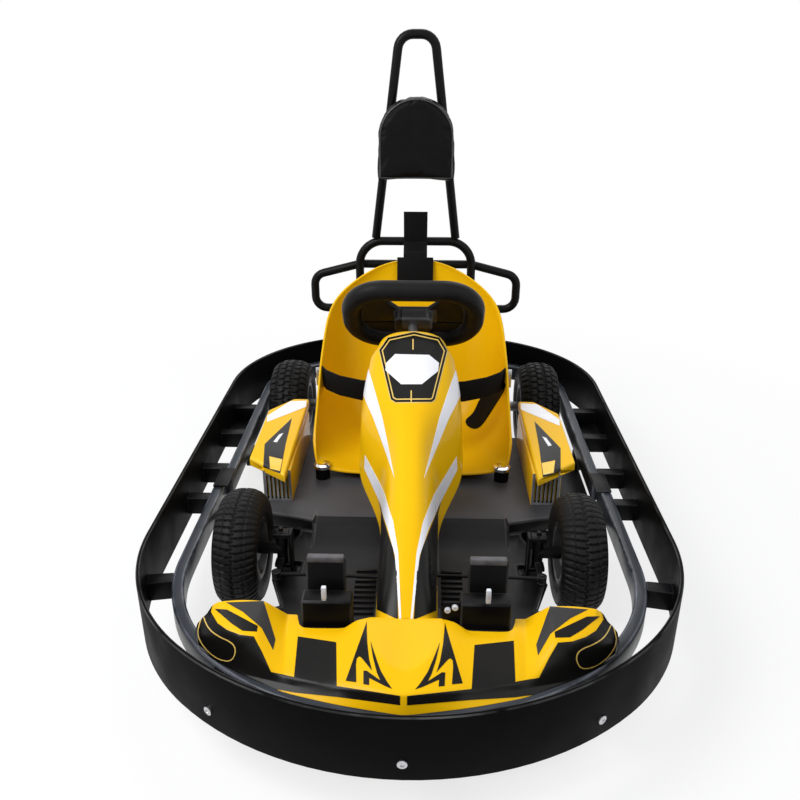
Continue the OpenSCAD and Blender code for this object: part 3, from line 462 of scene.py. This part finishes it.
step_top = 0.114
# The step sheet covers only the step's upward faces, as painted highlight.
skin(pan, "step_top_highlight_sheet",
     lambda face: face.normal.z > 0.85 and abs(face.center.z - step_top) < 0.004,
     step_top_painted_highlight, thick=0.0005)
arm_top = 0.076
# A dark plate on the frame's right arm, on that side only.
plate("right_arm_plate", (0.3735, -0.058, arm_top), (0.462, 0.247, arm_top + 0.004), edge=0.001,
      material=floor_grey)
tray_top = 0.081
rib_x = 0.0945
rib_z = tray_top + 0.0015
rib_front = -0.44
rib_pitch = 0.018
rib_size = (0.046, 0.008, 0.007)
ribs = []
bpy.ops.object.select_all(action="DESELECT")
for side in (-1, 1):
    for step in range(9):
        bpy.ops.mesh.primitive_cube_add(
            size=1.0, location=(side * rib_x, rib_front + rib_pitch * step, rib_z), scale=rib_size)
        rib = bpy.context.object
        bpy.ops.object.transform_apply(location=True, rotation=True, scale=True)
        faces_by(rib, lambda face: face.normal.z > 0.9)
        bpy.ops.mesh.bevel(offset=0.0022, segments=2, affect="EDGES")
        bpy.ops.object.mode_set(mode="OBJECT")
        ribs.append(rib)
liner_z = 0.041
liner_thick = 0.004
for side in (-1, 1):
    liner = bpy.data.meshes.new("floor_liner")
    liner_edge = [(side * x, y, liner_z) for x, y in (
        (0.236, -0.450), (0.330, -0.450), (0.330, -0.412), (0.272, -0.398), (0.314, -0.283),
        (0.272, -0.168), (0.330, -0.135), (0.362, -0.100), (0.362, -0.062), (0.236, -0.062))]
    liner.from_pydata(liner_edge, [], [list(range(len(liner_edge)))])
    panel = bpy.data.objects.new("floor_liner", liner)
    bpy.context.collection.objects.link(panel)
    faces_by(panel, lambda face: True)
    bpy.ops.mesh.extrude_region_move(TRANSFORM_OT_translate={"value": (0, 0, liner_thick)})
    bpy.ops.mesh.select_all(action="SELECT")
    bpy.ops.mesh.normals_make_consistent(inside=False)
    bpy.ops.mesh.bevel(offset=0.0008, segments=2, affect="EDGES")
    bpy.ops.object.mode_set(mode="OBJECT")
    ribs.append(panel)
rib_set = joined(ribs, "floor_ribs")
coated(rib_set, floor_grey)
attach(rib_set, "chassis")

# Pedals: two plastic treadles in their housings, with a light grey strip on the top edge of each that
# is a painted highlight, a bright lever at its foot and, on the right, a cable bracket with two
# bolts.
moulded_black = finish("moulded_black", light=(0.0045, 0.0045, 0.0048),
                       dark=(0.0028, 0.0028, 0.0030), worn=(0.040, 0.040, 0.042), patch=12.0,
                       smooth=0.30, dull=0.44, grain=1200.0, relief=0.16, specular=0.08)
eased("pedals", "chassis", moulded_black, edge=0.004, segments=3)
# The grey strip along each pedal's top edge is a painted highlight.
painted_pedal_highlight = finish("pedal_top_edge_painted_highlight", light=(0.105, 0.100, 0.105), dark=(0.060, 0.058, 0.062),
                  worn=(0.20, 0.20, 0.20), patch=60.0, smooth=0.45, dull=0.60, grain=900.0,
                  relief=0.2, specular=0.4)
lever_zinc = finish("lever_zinc", light=(0.70, 0.72, 0.78), dark=(0.58, 0.60, 0.66),
                    worn=(0.8, 0.8, 0.84), patch=80.0, smooth=0.26, dull=0.40, grain=900.0,
                    relief=0.05, metallic=0.15)
for side in (-1, 1):
    side_plate("pedal_highlight_strip", side, (0.116, -0.5585, 0.2905), (0.184, -0.5445, 0.3035), edge=0.003,
               material=painted_pedal_highlight)
    side_plate("pedal_lever", side, (0.142, -0.623, 0.2545), (0.151, -0.614, 0.284), edge=0.002,
               material=lever_zinc)
bracket_front = -0.622
plate("cable_bracket", (0.066, bracket_front, 0.200), (0.098, -0.616, 0.256), edge=0.0015,
      material=moulded_black)
bolt_heads("cable_bolts", 0.0058, 0.004, [((0.0745, bracket_front, 0.2415), (0, -1, 0)),
                                         ((0.0875, bracket_front, 0.2475), (0, -1, 0))],
           lever_zinc)

# Nose: one yellow moulding of shaped plastic on the front bow, gloss outside. Black vinyl covers
# its front, its panels and the lamp shapes at its ends.
gloss_yellow = finish("gloss_yellow", light=(0.880, 0.505, 0.004), dark=(0.840, 0.470, 0.003),
                      worn=(0.920, 0.600, 0.060), patch=4.0, smooth=0.20, dull=0.28, grain=600.0,
                      relief=0.01, coat=0.02, specular=0.09)
vinyl_film = finish("vinyl_film_black", light=(0.0075, 0.0068, 0.0062),
                    dark=(0.0050, 0.0046, 0.0044), worn=(0.05, 0.05, 0.05), patch=8.0,
                    smooth=0.24, dull=0.34, grain=500.0, relief=0.02, specular=0.16)
grey_film = finish("vinyl_film_grey", light=(0.045, 0.043, 0.043), dark=(0.030, 0.028, 0.027),
                   worn=(0.1, 0.1, 0.1), patch=8.0, smooth=0.26, dull=0.36, grain=500.0,
                   relief=0.02, specular=0.18)
white_film = finish("vinyl_film_white", light=(0.86, 0.87, 0.92), dark=(0.80, 0.81, 0.87),
                    worn=(0.9, 0.9, 0.9), patch=8.0, smooth=0.24, dull=0.34, grain=500.0,
                    relief=0.02)
gold_film = finish("vinyl_film_gold", light=(0.80, 0.56, 0.14), dark=(0.72, 0.48, 0.10),
                   worn=(0.9, 0.7, 0.3), patch=20.0, smooth=0.24, dull=0.34, grain=500.0,
                   relief=0.02)
yellow_film = finish("vinyl_film_yellow", light=(0.90, 0.56, 0.02), dark=(0.84, 0.50, 0.015),
                     worn=(0.9, 0.7, 0.3), patch=20.0, smooth=0.24, dull=0.34, grain=500.0,
                     relief=0.02)
cut_gap = 0.00001


def smoothed(node, name, crease_angle, crease, levels):
    """Copy of a shell with its triangles joined to quads and subdivided, creased at its folds."""
    piece = merged_copy(node, name)
    bpy.ops.mesh.bisect(plane_co=(0, 0, 0), plane_no=(1, 0, 0), clear_outer=True, threshold=cut_gap)
    bpy.ops.mesh.select_all(action="SELECT")
    bpy.ops.mesh.tris_convert_to_quads(face_threshold=math.radians(70),
                                       shape_threshold=math.radians(120))
    bpy.ops.mesh.select_all(action="DESELECT")
    bpy.ops.mesh.edges_select_sharp(sharpness=math.radians(crease_angle))
    bpy.ops.transform.edge_crease(value=crease)
    bpy.ops.object.mode_set(mode="OBJECT")
    twin = piece.modifiers.new("other_side", "MIRROR")
    twin.merge_threshold = 0.0002
    bpy.ops.object.modifier_apply(modifier=twin.name)
    shape = piece.modifiers.new("subdivision", "SUBSURF")
    shape.levels = levels
    shape.render_levels = levels
    bpy.ops.object.modifier_apply(modifier=shape.name)
    return piece


eye = Vector(camera.location)
aim = camera.rotation_euler.to_matrix()
frame_px = 800.0
middle_px = frame_px / 2


def sight(u, v):
    """Direction from the camera through a point of the 800 by 800 frame."""
    return aim @ Vector(((u - middle_px) / frame_px, (middle_px - v) / frame_px, -1.0))


def in_view(base):
    """Faces of a piece that the camera sees."""
    bpy.context.view_layer.update()
    seen = set()
    for face in base.data.polygons:
        away = face.center - eye
        hit, at, _, index = base.ray_cast(eye, away.normalized())
        if hit and (index == face.index or (at - face.center).length < 0.002):
            seen.add(face.index)
    return seen


def drawn_in(outline, by):
    """A convex outline with each side moved in by a distance."""
    count = len(outline)
    ends = [(outline[i], outline[(i + 1) % count]) for i in range(count)]
    area = sum(p[0] * q[1] - q[0] * p[1] for p, q in ends)
    turn = 1.0 if area > 0 else -1.0
    sides = []
    for p, q in ends:
        a = Vector(p)
        run = (Vector(q) - a).normalized()
        sides.append((a + turn * by * Vector((-run.y, run.x)), run))
    corners = []
    for i in range(count):
        (a, u), (b, w) = sides[i - 1], sides[i]
        cross = u.x * w.y - u.y * w.x
        if abs(cross) > 1e-6:
            along = ((b.x - a.x) * w.y - (b.y - a.y) * w.x) / cross
            corners.append(tuple(a + u * along))
        else:
            corners.append(tuple(b))
    return corners


def cut_to(outline):
    """Cuts the mesh in edit mode to what lies inside a convex outline of the frame."""
    count = len(outline)
    middle = sight(sum(p[0] for p in outline) / count, sum(p[1] for p in outline) / count)
    for i, corner in enumerate(outline):
        cut = sight(*outline[i - 1]).cross(sight(*corner))
        cut.normalize()
        if cut.dot(middle) > 0:
            cut = -cut
        bpy.ops.mesh.select_all(action="SELECT")
        bpy.ops.mesh.bisect(plane_co=eye, plane_no=cut, clear_outer=True, threshold=cut_gap)
    bpy.ops.object.mode_set(mode="OBJECT")


def rounded(outline, times=2):
    """Outline with its corners cut off again and again until they are round."""
    for step in range(times):
        count = len(outline)
        cut = []
        for i in range(count):
            a, b = Vector(outline[i]), Vector(outline[(i + 1) % count])
            cut += [tuple(a.lerp(b, 0.25)), tuple(a.lerp(b, 0.75))]
        outline = cut
    return outline


def film(base, seen, name, outlines, material, thick, both=True, body="chassis"):
    """Vinyl cut to outlines of the frame, laid on the faces of a shell that show there."""
    patches = []
    for outline in outlines:
        low_u, high_u = min(u for u, v in outline), max(u for u, v in outline)
        low_v, high_v = min(v for u, v in outline), max(v for u, v in outline)
        around = copy_of(base, name)
        faces_by(around, lambda face: face.index not in seen)
        bpy.ops.mesh.delete(type="FACE")
        cut_to([(low_u, low_v), (high_u, low_v), (high_u, high_v), (low_u, high_v)])
        flat = [Vector((u, v, 0.0)) for u, v in outline]
        for corners in tessellate_polygon([flat]):
            patch = copy_of(around, name)
            faces_by(patch, lambda face: False)
            cut_to([outline[i] for i in corners])
            if len(patch.data.polygons):
                patches.append(patch)
            else:
                bpy.data.objects.remove(patch)
        bpy.data.objects.remove(around)
    if both:
        for patch in list(patches):
            mirror = copy_of(patch, name)
            mirror.data.transform(Matrix.Scale(-1.0, 4, (1.0, 0.0, 0.0)))
            mirror.data.flip_normals()
            patches.append(mirror)
    sheet = joined(patches, name)
    faces_by(sheet, lambda face: True)
    bpy.ops.mesh.remove_doubles(threshold=merge_gap)
    bpy.ops.object.mode_set(mode="OBJECT")
    thickened(sheet, material, thick, body)


nose = smoothed("nose_fairing", "nose_fairing_finished", crease_angle=16.0, crease=0.5, levels=3)
coated(nose, gloss_yellow, 40.0)
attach(nose, "chassis")
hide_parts("nose_fairing")
nose_seen = in_view(nose)
film(nose, nose_seen, "nose_front_film", [
    [(213, 604), (210.9, 611.7), (217.6, 623.1), (227.1, 629.8), (240, 634.8), (253.9, 636.5),
     (262, 652), (271.1, 671.9), (294.1, 677.1), (297.9, 636.5), (336.2, 642.3), (336.7, 686),
     (400, 695.8), (400, 705), (338, 697), (294.5, 692.5), (275, 689), (268, 700), (230, 700),
     (185, 670), (185, 610)]],
    vinyl_film, thick=0.0007)
lamp_shape = rounded([(203.5, 614), (208, 627), (217, 635), (234, 642.5), (237, 652),
                      (231.5, 662.5), (217, 659.5), (203, 647), (197, 634), (200, 621)])
film(nose, nose_seen, "lamp_edge_film", [lamp_shape], gold_film, thick=0.0010)
film(nose, nose_seen, "lamp_lens_film", [drawn_in(lamp_shape, 1.1)], vinyl_film,
     thick=0.0013)
film(nose, nose_seen, "nose_wing_film", [
    [(226.2, 602.5), (263.5, 601.1), (275.3, 639.4), (273, 649.9), (261.6, 627.9), (243, 612)]],
    grey_film, thick=0.0007)
film(nose, nose_seen, "nose_stripe_film", [
    [(214.7, 608.8), (227.1, 609.7), (257.7, 626), (256.8, 631.7), (242.4, 630.8), (231, 623.1)],
    [(366.8, 621.5), (345.8, 680.8), (356.3, 682.3), (356, 665), (356.8, 658.5), (359.2, 656.4),
     (361.6, 657.9), (372.1, 670.8), (369.2, 659.3), (367.3, 643), (366.8, 630.6)],
    [(370.7, 641.1), (372.1, 645.9), (375.9, 657.4), (380.7, 670.8), (387.4, 682.3), (392.2, 689),
     (385, 686.1), (369.2, 678), (369.2, 685.1), (363.5, 684.2), (363.5, 670.8), (366.8, 670.8),
     (380.2, 680.4), (376.9, 672.7), (373, 657.4), (371.1, 645.9)]],
    vinyl_film, thick=0.0007)

# Steering cowl: a yellow moulding over the column, from the nose up to the dash. Its films are a
# dark dash shield with a bare plate, pale flashes down the flanks and dark panels at the foot.
cowl = smoothed("steering_cowl", "steering_cowl_finished", crease_angle=40.0, crease=0.7, levels=3)
cowl_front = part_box("steering_cowl")[0][1]
cowl_lap = (0, -0.006, -0.003)
faces_by(cowl, lambda face: face.normal.y < -0.7 and face.center.y < cowl_front + 0.004)
bpy.ops.mesh.extrude_region_move(TRANSFORM_OT_translate={"value": cowl_lap})
bpy.ops.object.mode_set(mode="OBJECT")
coated(cowl, gloss_yellow, 40.0)
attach(cowl, "chassis")
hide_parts("steering_cowl")
cowl_seen = in_view(cowl)
shield = [(414, 331.2), (440, 337), (448.1, 350.5), (435.6, 400.1), (432, 403), (395.3, 403.3),
          (390.2, 400.1), (378.4, 350), (387.5, 337)]
film(cowl, cowl_seen, "dash_edge_film", [shield], gold_film, thick=0.0005,
     both=False)
film(cowl, cowl_seen, "dash_shield_film", [drawn_in(shield, 1.0)], vinyl_film,
     thick=0.0008, both=False)
film(cowl, cowl_seen, "dash_line_film", [drawn_in(shield, 3.2)], gold_film,
     thick=0.0011, both=False)
film(cowl, cowl_seen, "dash_panel_film", [drawn_in(shield, 4.4)], vinyl_film,
     thick=0.0014, both=False)
film(cowl, cowl_seen, "dash_mark_film", [
    [(412.4, 339.5), (413.6, 339.5), (413.6, 350), (412.4, 350)],
    [(410.6, 391), (411.8, 391), (411.8, 402), (410.6, 402)]],
    gold_film, thick=0.0017, both=False)
film(cowl, cowl_seen, "dash_plate", [
    [(395.3, 354.6), (429, 355.4), (438.6, 363.4), (437.8, 371.5), (421.7, 384.7), (401.2, 384.7),
     (385.8, 370.8), (386.5, 363.4)]],
    white_film, thick=0.0020, both=False)
film(cowl, cowl_seen, "cowl_flash_film", [
    [(458.4, 362), (464, 371), (463.5, 390), (446.6, 395.7)],
    [(446.6, 395.7), (463.5, 390), (449, 418), (439.3, 417.7)],
    [(439.3, 417.7), (449, 418), (424, 478)],
    [(456.5, 456.5), (457.1, 469.8), (441.2, 500.4), (434, 494.3)],
    [(434, 494.3), (441.2, 500.4), (428, 530), (423, 522)],
    [(423, 522), (428, 530), (419.5, 556), (416.5, 553)],
    [(416.5, 553), (419.5, 556), (412.6, 618.8), (410.6, 618.8)]],
    white_film, thick=0.0006)
film(cowl, cowl_seen, "cowl_side_film", [
    [(441.2, 500.4), (438.2, 512.7), (436.1, 610.6), (413.7, 619.8), (416.9, 570), (421.8, 549.4)]],
    vinyl_film, thick=0.0006)

# Seat: a deep yellow shell in one moulding, gloss inside and out. A chromed cup on a black post
# stands under each of its front corners, and a bright anchor plate holds each end of the belt.
seat = smoothed("seat_shell", "seat_shell_finished", crease_angle=60.0, crease=0.8, levels=2)
coated(seat, gloss_yellow, 60.0)
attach(seat, "chassis")
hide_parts("seat_shell")
seat_seen = in_view(seat)
chrome = finish("chrome", light=(0.80, 0.80, 0.84), dark=(0.66, 0.66, 0.72),
                worn=(0.85, 0.85, 0.88), patch=60.0, smooth=0.06, dull=0.14, grain=900.0,
                relief=0.02, metallic=1.0)
post_x = 0.235
post_y = 0.068
post_foot = 0.112
cup_foot = 0.146
bolt_heads("seat_posts", 0.019, 0.030, [((-post_x, post_y, post_foot), (0, 0, 1)),
                                        ((post_x, post_y, post_foot), (0, 0, 1))],
           moulded_black)
bolt_heads("seat_cups", 0.0225, 0.008, [((-post_x, post_y, cup_foot), (0, 0, 1)),
                                        ((post_x, post_y, cup_foot), (0, 0, 1))],
           chrome)
for side in (-1, 1):
    side_plate("belt_anchor", side, (0.254, 0.268, 0.292), (0.270, 0.272, 0.345), edge=0.0012,
               material=bolt_zinc)

# Side pods: hollow yellow mouldings beside the seat with a softly rounded lid, and a grille under
# its front lip. Each covers a battery block.
lid_foot = 0.2085
lid_edge = 0.006
pods = {}
for pod_side in ("left", "right"):
    pods[pod_side] = eased("side_pod_" + pod_side, "chassis", gloss_yellow,
                           edge=0.0015, lid=(lid_foot, lid_edge))
eased("batteries", "chassis", moulded_black, edge=0.003)
pod_seen = in_view(pods["right"])
film(pods["right"], pod_seen, "pod_shadow_film", [
    [(534.5, 421.4), (555.9, 443.3), (560.6, 448.4), (560.6, 471.4), (542.9, 477.5), (539.2, 447.3)]],
    vinyl_film, thick=0.0006)
film(pods["right"], pod_seen, "pod_block_film", [
    [(541.6, 463.3), (555.1, 460.6), (553.5, 472.9), (543.3, 475.1)]],
    yellow_film, thick=0.0009)
grille_grey = finish("grille_grey", light=(0.20, 0.20, 0.21), dark=(0.13, 0.13, 0.14),
                     worn=(0.3, 0.3, 0.3), patch=30.0, smooth=0.3, dull=0.42, grain=600.0,
                     relief=0.05, specular=0.3)
pod_low = Vector(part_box("side_pod_right")[0])
grille_y = pod_low.y + 0.038
grille_top = pod_low.z + 0.072
grille_inner = pod_low.x + 0.005
grille_outer = pod_low.x + 0.0715


def on_bars(face):
    """Front of the grille's bars."""
    return abs(face.center.y - grille_y) < 0.0015 and face.normal.y < -0.9


def in_slots(face):
    """Walls and backs of the slots between the bars."""
    behind = face.center.y - grille_y
    return (-0.001 < behind < 0.012 and face.center.z < grille_top
            and grille_inner < abs(face.center.x) < grille_outer and face.normal.y >= -0.9)


for pod_side, pod in pods.items():
    skin(pod, "pod_bars_" + pod_side, on_bars, grille_grey, thick=0.0006)
    skin(pod, "pod_slots_" + pod_side, in_slots, vinyl_film, thick=0.0003)
film(pods["right"], pod_seen, "pod_flash_film", [
    [(542.2, 436.7), (546.3, 438.2), (551.8, 445.7), (548.4, 446.3)],
    [(520.8, 403.5), (537.1, 404.5), (559.6, 419.8), (559.6, 425.9), (535.1, 415.7), (520.8, 409.6)]],
    white_film, thick=0.0009)

# Hoops: round steel tubes behind the seat, bent and welded to the frame and powder coated black.
# One holds the seat's back, one the headrest, and a grab rail stands out on each side.
for hoop_node in ("seat_hoop", "grab_rail", "headrest_hoop"):
    eased(hoop_node, "chassis", powder_black, edge=0.001, sharp=50.0)

# Headrest: a foam pad sewn into black vinyl, fixed to the front of its hoop. It starts a little
# thin and swells by cloth simulation. A piped seam runs round its face, its black a little lighter
# than the pad's as a painted highlight.
vinyl_black = finish("vinyl_black", light=(0.0045, 0.0045, 0.0048), dark=(0.0030, 0.0030, 0.0033),
                     worn=(0.03, 0.03, 0.03), patch=20.0, smooth=0.40, dull=0.52, grain=1600.0,
                     relief=0.35, specular=0.08)
pad = merged_copy("headrest_pad", "headrest_pad_finished")
bpy.ops.object.mode_set(mode="OBJECT")
pad_low, pad_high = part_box("headrest_pad")
pad_mid = (Vector(pad_low) + Vector(pad_high)) / 2
pad_start = Matrix.Diagonal((1.01, 0.80, 1.01, 1.0))
pad.data.transform(Matrix.Translation(pad_mid) @ pad_start @ Matrix.Translation(-pad_mid))
pad.data.remesh_voxel_size = 0.005
bpy.ops.object.voxel_remesh()
pad_before = [vertex.co.copy() for vertex in pad.data.vertices]
swell = pad.modifiers.new("swell", "CLOTH")
swell.settings.use_pressure = True
swell.settings.uniform_pressure_force = 4.0
swell.settings.effector_weights.gravity = 0.0
for tick in range(1, 21):
    bpy.context.scene.frame_set(tick)
bpy.ops.object.modifier_apply(modifier=swell.name)
bpy.context.scene.frame_set(1)
pad_reach = 0.008
for vertex, start in zip(pad.data.vertices, pad_before):
    move = vertex.co - start
    if move.length > pad_reach:
        vertex.co = start + move * (pad_reach / move.length)
pad_round = pad.modifiers.new("subdivision", "SUBSURF")
pad_round.levels = 1
pad_round.render_levels = 1
bpy.ops.object.modifier_apply(modifier=pad_round.name)
coated(pad, vinyl_black, 60.0)
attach(pad, "chassis")
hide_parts("headrest_pad")
bpy.context.view_layer.update()
pad_half = pad_high[0] - pad_mid.x
pad_left = pad_mid.x - pad_half
pad_right = pad_mid.x + pad_half
pad_foot = pad_low[2]
arc_z = pad_high[2] - pad_half
foot_steps = 16
side_steps = 12
arc_steps = 32
seam_line = [(pad_left + 2.0 * pad_half * k / foot_steps, pad_foot) for k in range(foot_steps)]
for k in range(side_steps):
    seam_line.append((pad_right, pad_foot + (arc_z - pad_foot) * k / side_steps))
for k in range(arc_steps):
    angle = math.pi * k / arc_steps
    seam_line.append((pad_mid.x + pad_half * math.cos(angle), arc_z + pad_half * math.sin(angle)))
for k in range(side_steps):
    seam_line.append((pad_left, arc_z - (arc_z - pad_foot) * k / side_steps))
seam_points = []
seam_share = 0.91
for x, z in seam_line:
    before = Vector((pad_mid.x + (x - pad_mid.x) * seam_share, pad_low[1] - 0.05,
                     pad_mid.z + (z - pad_mid.z) * seam_share))
    hit, at = pad.ray_cast(before, Vector((0.0, 1.0, 0.0)))[:2]
    if hit:
        seam_points.append(tuple(at))
seam_count = len(seam_points)
seam_mesh = bpy.data.meshes.new("headrest_piping")
seam_mesh.from_pydata(seam_points, [(k, (k + 1) % seam_count) for k in range(seam_count)], [])
piping = bpy.data.objects.new("headrest_piping", seam_mesh)
bpy.context.collection.objects.link(piping)
only(piping)
bpy.ops.object.convert(target="CURVE")
piping.data.bevel_depth = 0.0026
piping.data.bevel_resolution = 3
bpy.ops.object.convert(target="MESH")
# The piping's black is lighter than the pad's vinyl: a painted highlight along the seam.
piping_painted_highlight = finish("piping_painted_highlight", light=(0.012, 0.012, 0.013), dark=(0.008, 0.008, 0.009),
                      worn=(0.03, 0.03, 0.03), patch=40.0, smooth=0.22, dull=0.32, grain=1600.0,
                      relief=0.1, specular=0.5)
coated(piping, piping_painted_highlight, 60.0)
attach(piping, "chassis")

# Belts: black polyester webbing, one strap over the seat's back and one across the lap. The loose
# tail of the lap strap lies on the seat.
webbing_black = finish("webbing_black", light=(0.0052, 0.0050, 0.0050),
                       dark=(0.0034, 0.0033, 0.0034), worn=(0.03, 0.03, 0.03), patch=30.0,
                       smooth=0.62, dull=0.80, grain=900.0, relief=0.6, specular=0.08)
eased("shoulder_belt", "chassis", webbing_black, edge=0.0006)
eased("lap_belt", "chassis", webbing_black, edge=0.0006)
film(seat, seat_seen, "belt_tail", [rounded([
    (487, 384), (506.8, 380.8), (504, 392), (498, 401), (490, 414), (482.6, 425), (476, 429.6),
    (467.5, 427), (465, 420.4), (473.8, 413.8), (479.3, 401), (485, 392)])],
    webbing_black, thick=0.003, both=False)

# Drive: an electric motor in a cast housing behind the seat turns the steel axle by a chain. A
# steel disc on the axle and a cast caliper on the frame brake it.
bare_steel = finish("bare_steel", light=(0.52, 0.52, 0.54), dark=(0.40, 0.40, 0.42),
                    worn=(0.66, 0.66, 0.68), patch=30.0, smooth=0.26, dull=0.42, grain=1500.0,
                    relief=0.05, metallic=1.0)
motor_grey = finish("motor_grey", light=(0.20, 0.21, 0.22), dark=(0.14, 0.15, 0.16),
                    worn=(0.40, 0.41, 0.42), patch=20.0, smooth=0.34, dull=0.50, grain=900.0,
                    relief=0.15, metallic=0.6)
eased("axle_bearings", "chassis", bare_steel, edge=0.002)
eased("drive_motor", "chassis", motor_grey, edge=0.002)
eased("drive_chain", "chassis", bare_steel, edge=0.001)
eased("brake_caliper", "chassis", motor_grey, edge=0.002)
for axle_node in ("rear_axle", "sprocket", "brake_disc"):
    eased(axle_node, "rear_axle", bare_steel, edge=0.001)

# Steering: a steel column that turns in its post, with a wheel moulded in black plastic at its
# head and a grey cover on the hub. Dark steel rods run from its foot to the knuckles.
eased("steering_column", "steering", bare_steel, edge=0.0008)
grip_black = finish("grip_black", light=(0.0060, 0.0060, 0.0062), dark=(0.0040, 0.0040, 0.0042),
                    worn=(0.04, 0.04, 0.04), patch=18.0, smooth=0.36, dull=0.50, grain=1400.0,
                    relief=0.3, specular=0.12)
wheel = eased("steering_wheel", "steering", grip_black, edge=0.004, segments=3)
film(wheel, in_view(wheel), "wheel_hub_cover", [
    [(404, 309), (435, 309), (437, 311), (437, 326), (435, 328), (404, 328), (402, 326), (402, 311)]],
    grey_film, thick=0.0015, both=False, body="steering")
dark_steel = finish("dark_steel", light=(0.0075, 0.0075, 0.0085), dark=(0.0050, 0.0050, 0.0058),
                    worn=(0.06, 0.06, 0.065), patch=30.0, smooth=0.34, dull=0.50, grain=1500.0,
                    relief=0.08, metallic=0.1, specular=0.14)
for side in ("left", "right"):
    eased("knuckle_" + side, "knuckle_" + side, dark_steel, edge=0.0008)
    eased("tie_rod_" + side, "tie_rod_" + side, dark_steel, edge=0.0008)

# Wheels: dark steel rims with small wide tyres, ribbed at the front and blocked at the rear, each
# held by four bright nuts. A tyre is a ring with its tread sunk between the blocks.
rim_black = finish("rim_black", light=(0.016, 0.016, 0.018), dark=(0.010, 0.010, 0.012),
                   worn=(0.15, 0.15, 0.16), patch=14.0, smooth=0.28, dull=0.44, grain=700.0,
                   relief=0.1, metallic=0.2)
tyre_rubber = finish("tyre_rubber", light=(0.0080, 0.0080, 0.0082), dark=(0.0050, 0.0050, 0.0052),
                     worn=(0.05, 0.05, 0.05), patch=25.0, smooth=0.46, dull=0.62, grain=800.0,
                     relief=0.2, specular=0.14)
for side in ("left", "right"):
    eased("front_rim_" + side, "front_wheel_" + side, rim_black, edge=0.0012)
eased("rear_rims", "rear_axle", rim_black, edge=0.0012)
nut_circle = 0.043
nut_foot = 0.005
for tyre_name, wheel_body in (
        ("front_tyre_left", "front_wheel_left"), ("front_tyre_right", "front_wheel_right"),
        ("rear_tyre_left", "rear_axle"), ("rear_tyre_right", "rear_axle")):
    hub = (Vector(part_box(tyre_name)[0]) + Vector(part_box(tyre_name)[1])) / 2
    away = 1 if hub.x > 0 else -1
    nuts = []
    for turn in range(4):
        angle = math.radians(45 + 90 * turn)
        nut_at = (hub.x + away * nut_foot, hub.y + nut_circle * math.cos(angle),
                  hub.z + nut_circle * math.sin(angle))
        nuts.append((nut_at, (away, 0, 0)))
    bolt_heads(tyre_name.replace("tyre", "nuts"), 0.0065, 0.006, nuts, bolt_zinc, wheel_body)


def soft_step(value, edge, blur):
    """From 0 to 1 across an edge, smoothly over a width."""
    t = min(1.0, max(0.0, (value - edge) / blur + 0.5))
    return t * t * (3.0 - 2.0 * t)


def rib_tread(x, half, turn):
    """Front tread: curved bars from a wavy middle groove out to the shoulders."""
    bars = 52
    wave = 0.0022 * math.sin(2.0 * math.pi * bars * turn)
    middle = 1.0 - soft_step(abs(x - wave), edge=0.0024, blur=0.0022)
    rail = 1.0 - soft_step(abs(abs(x) - 0.55 * half), edge=0.0011, blur=0.0018)
    bow = 0.42 * (abs(x) / half) ** 1.6 + (0.5 if x > 0 else 0.0)
    phase = (turn * bars + bow) % 1.0
    gap = 0.20 + 0.22 * (abs(x) / half) ** 2
    bar = 1.0 - soft_step(abs(phase - 0.5), edge=gap * 0.5, blur=0.16)
    return max(middle, 0.8 * rail, bar)


def block_tread(x, half, turn):
    """Rear tread: rows of slanted blocks, each row half a step behind the next."""
    steps = 38
    rows = 5
    slant = 0.0035 * (abs(((turn * steps) % 1.0) - 0.5) * 4.0 - 1.0)
    across = (x + slant + half) / (2.0 * half) * rows
    row = math.floor(across)
    to_groove = min(across - row, row + 1.0 - across) * 2.0 * half / rows
    between = 1.0 - soft_step(to_groove, edge=0.0022, blur=0.0022)
    phase = (turn * steps + 0.5 * (row % 2)) % 1.0
    gap = 1.0 - soft_step(abs(phase - 0.5), edge=0.15, blur=0.14)
    return max(between, gap)


def treaded_tyre(node, body, tread, depth, rounds, crown):
    """Ring shaped from a flat grid: bead, sidewall, tread, sidewall and bead, then round the axle."""
    low, high = (Vector(corner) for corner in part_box(node))
    middle = (low + high) / 2
    radius = (high.z - low.z) / 2
    half = (high.x - low.x) / 2
    bead = 0.064
    edge = half - 0.003
    columns = 34
    wall = [(-half + 0.010, bead), (-half + 0.004, bead + 0.007), (-half + 0.0008, bead + 0.020),
            (-half, bead + 0.034), (-half + 0.0008, radius - crown - 0.006)]
    tread_at = [-edge + 2.0 * edge * k / columns for k in range(columns + 1)]
    section = [(x, r, False) for x, r in wall]
    section += [(x, radius - crown * abs(x / edge) ** 2.8, True) for x in tread_at]
    section += [(-x, r, False) for x, r in reversed(wall)]
    section.append(section[0])
    around = len(section) - 1
    bpy.ops.object.select_all(action="DESELECT")
    bpy.ops.mesh.primitive_grid_add(x_subdivisions=around, y_subdivisions=rounds, size=1.0)
    ring = bpy.context.object
    ring.name = node + "_finished"
    for vertex in ring.data.vertices:
        x, r, cut = section[round((vertex.co.x + 0.5) * around)]
        turn = vertex.co.y + 0.5
        if cut:
            r -= depth * tread(x, edge, turn) * (1.0 - 0.25 * abs(x / edge) ** 4)
        angle = 2.0 * math.pi * turn
        vertex.co = (middle.x + x, middle.y + r * math.cos(angle), middle.z + r * math.sin(angle))
    bpy.ops.object.mode_set(mode="EDIT")
    bpy.ops.mesh.select_all(action="SELECT")
    bpy.ops.mesh.remove_doubles(threshold=merge_gap)
    bpy.ops.mesh.normals_make_consistent(inside=False)
    bpy.ops.object.mode_set(mode="OBJECT")
    coated(ring, tyre_rubber, 50.0)
    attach(ring, body)
    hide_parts(node)


for side in ("left", "right"):
    treaded_tyre("front_tyre_" + side, "front_wheel_" + side, rib_tread, depth=0.0045, rounds=416,
                 crown=0.019)
    treaded_tyre("rear_tyre_" + side, "rear_axle", block_tread, depth=0.0060, rounds=380,
                 crown=0.020)
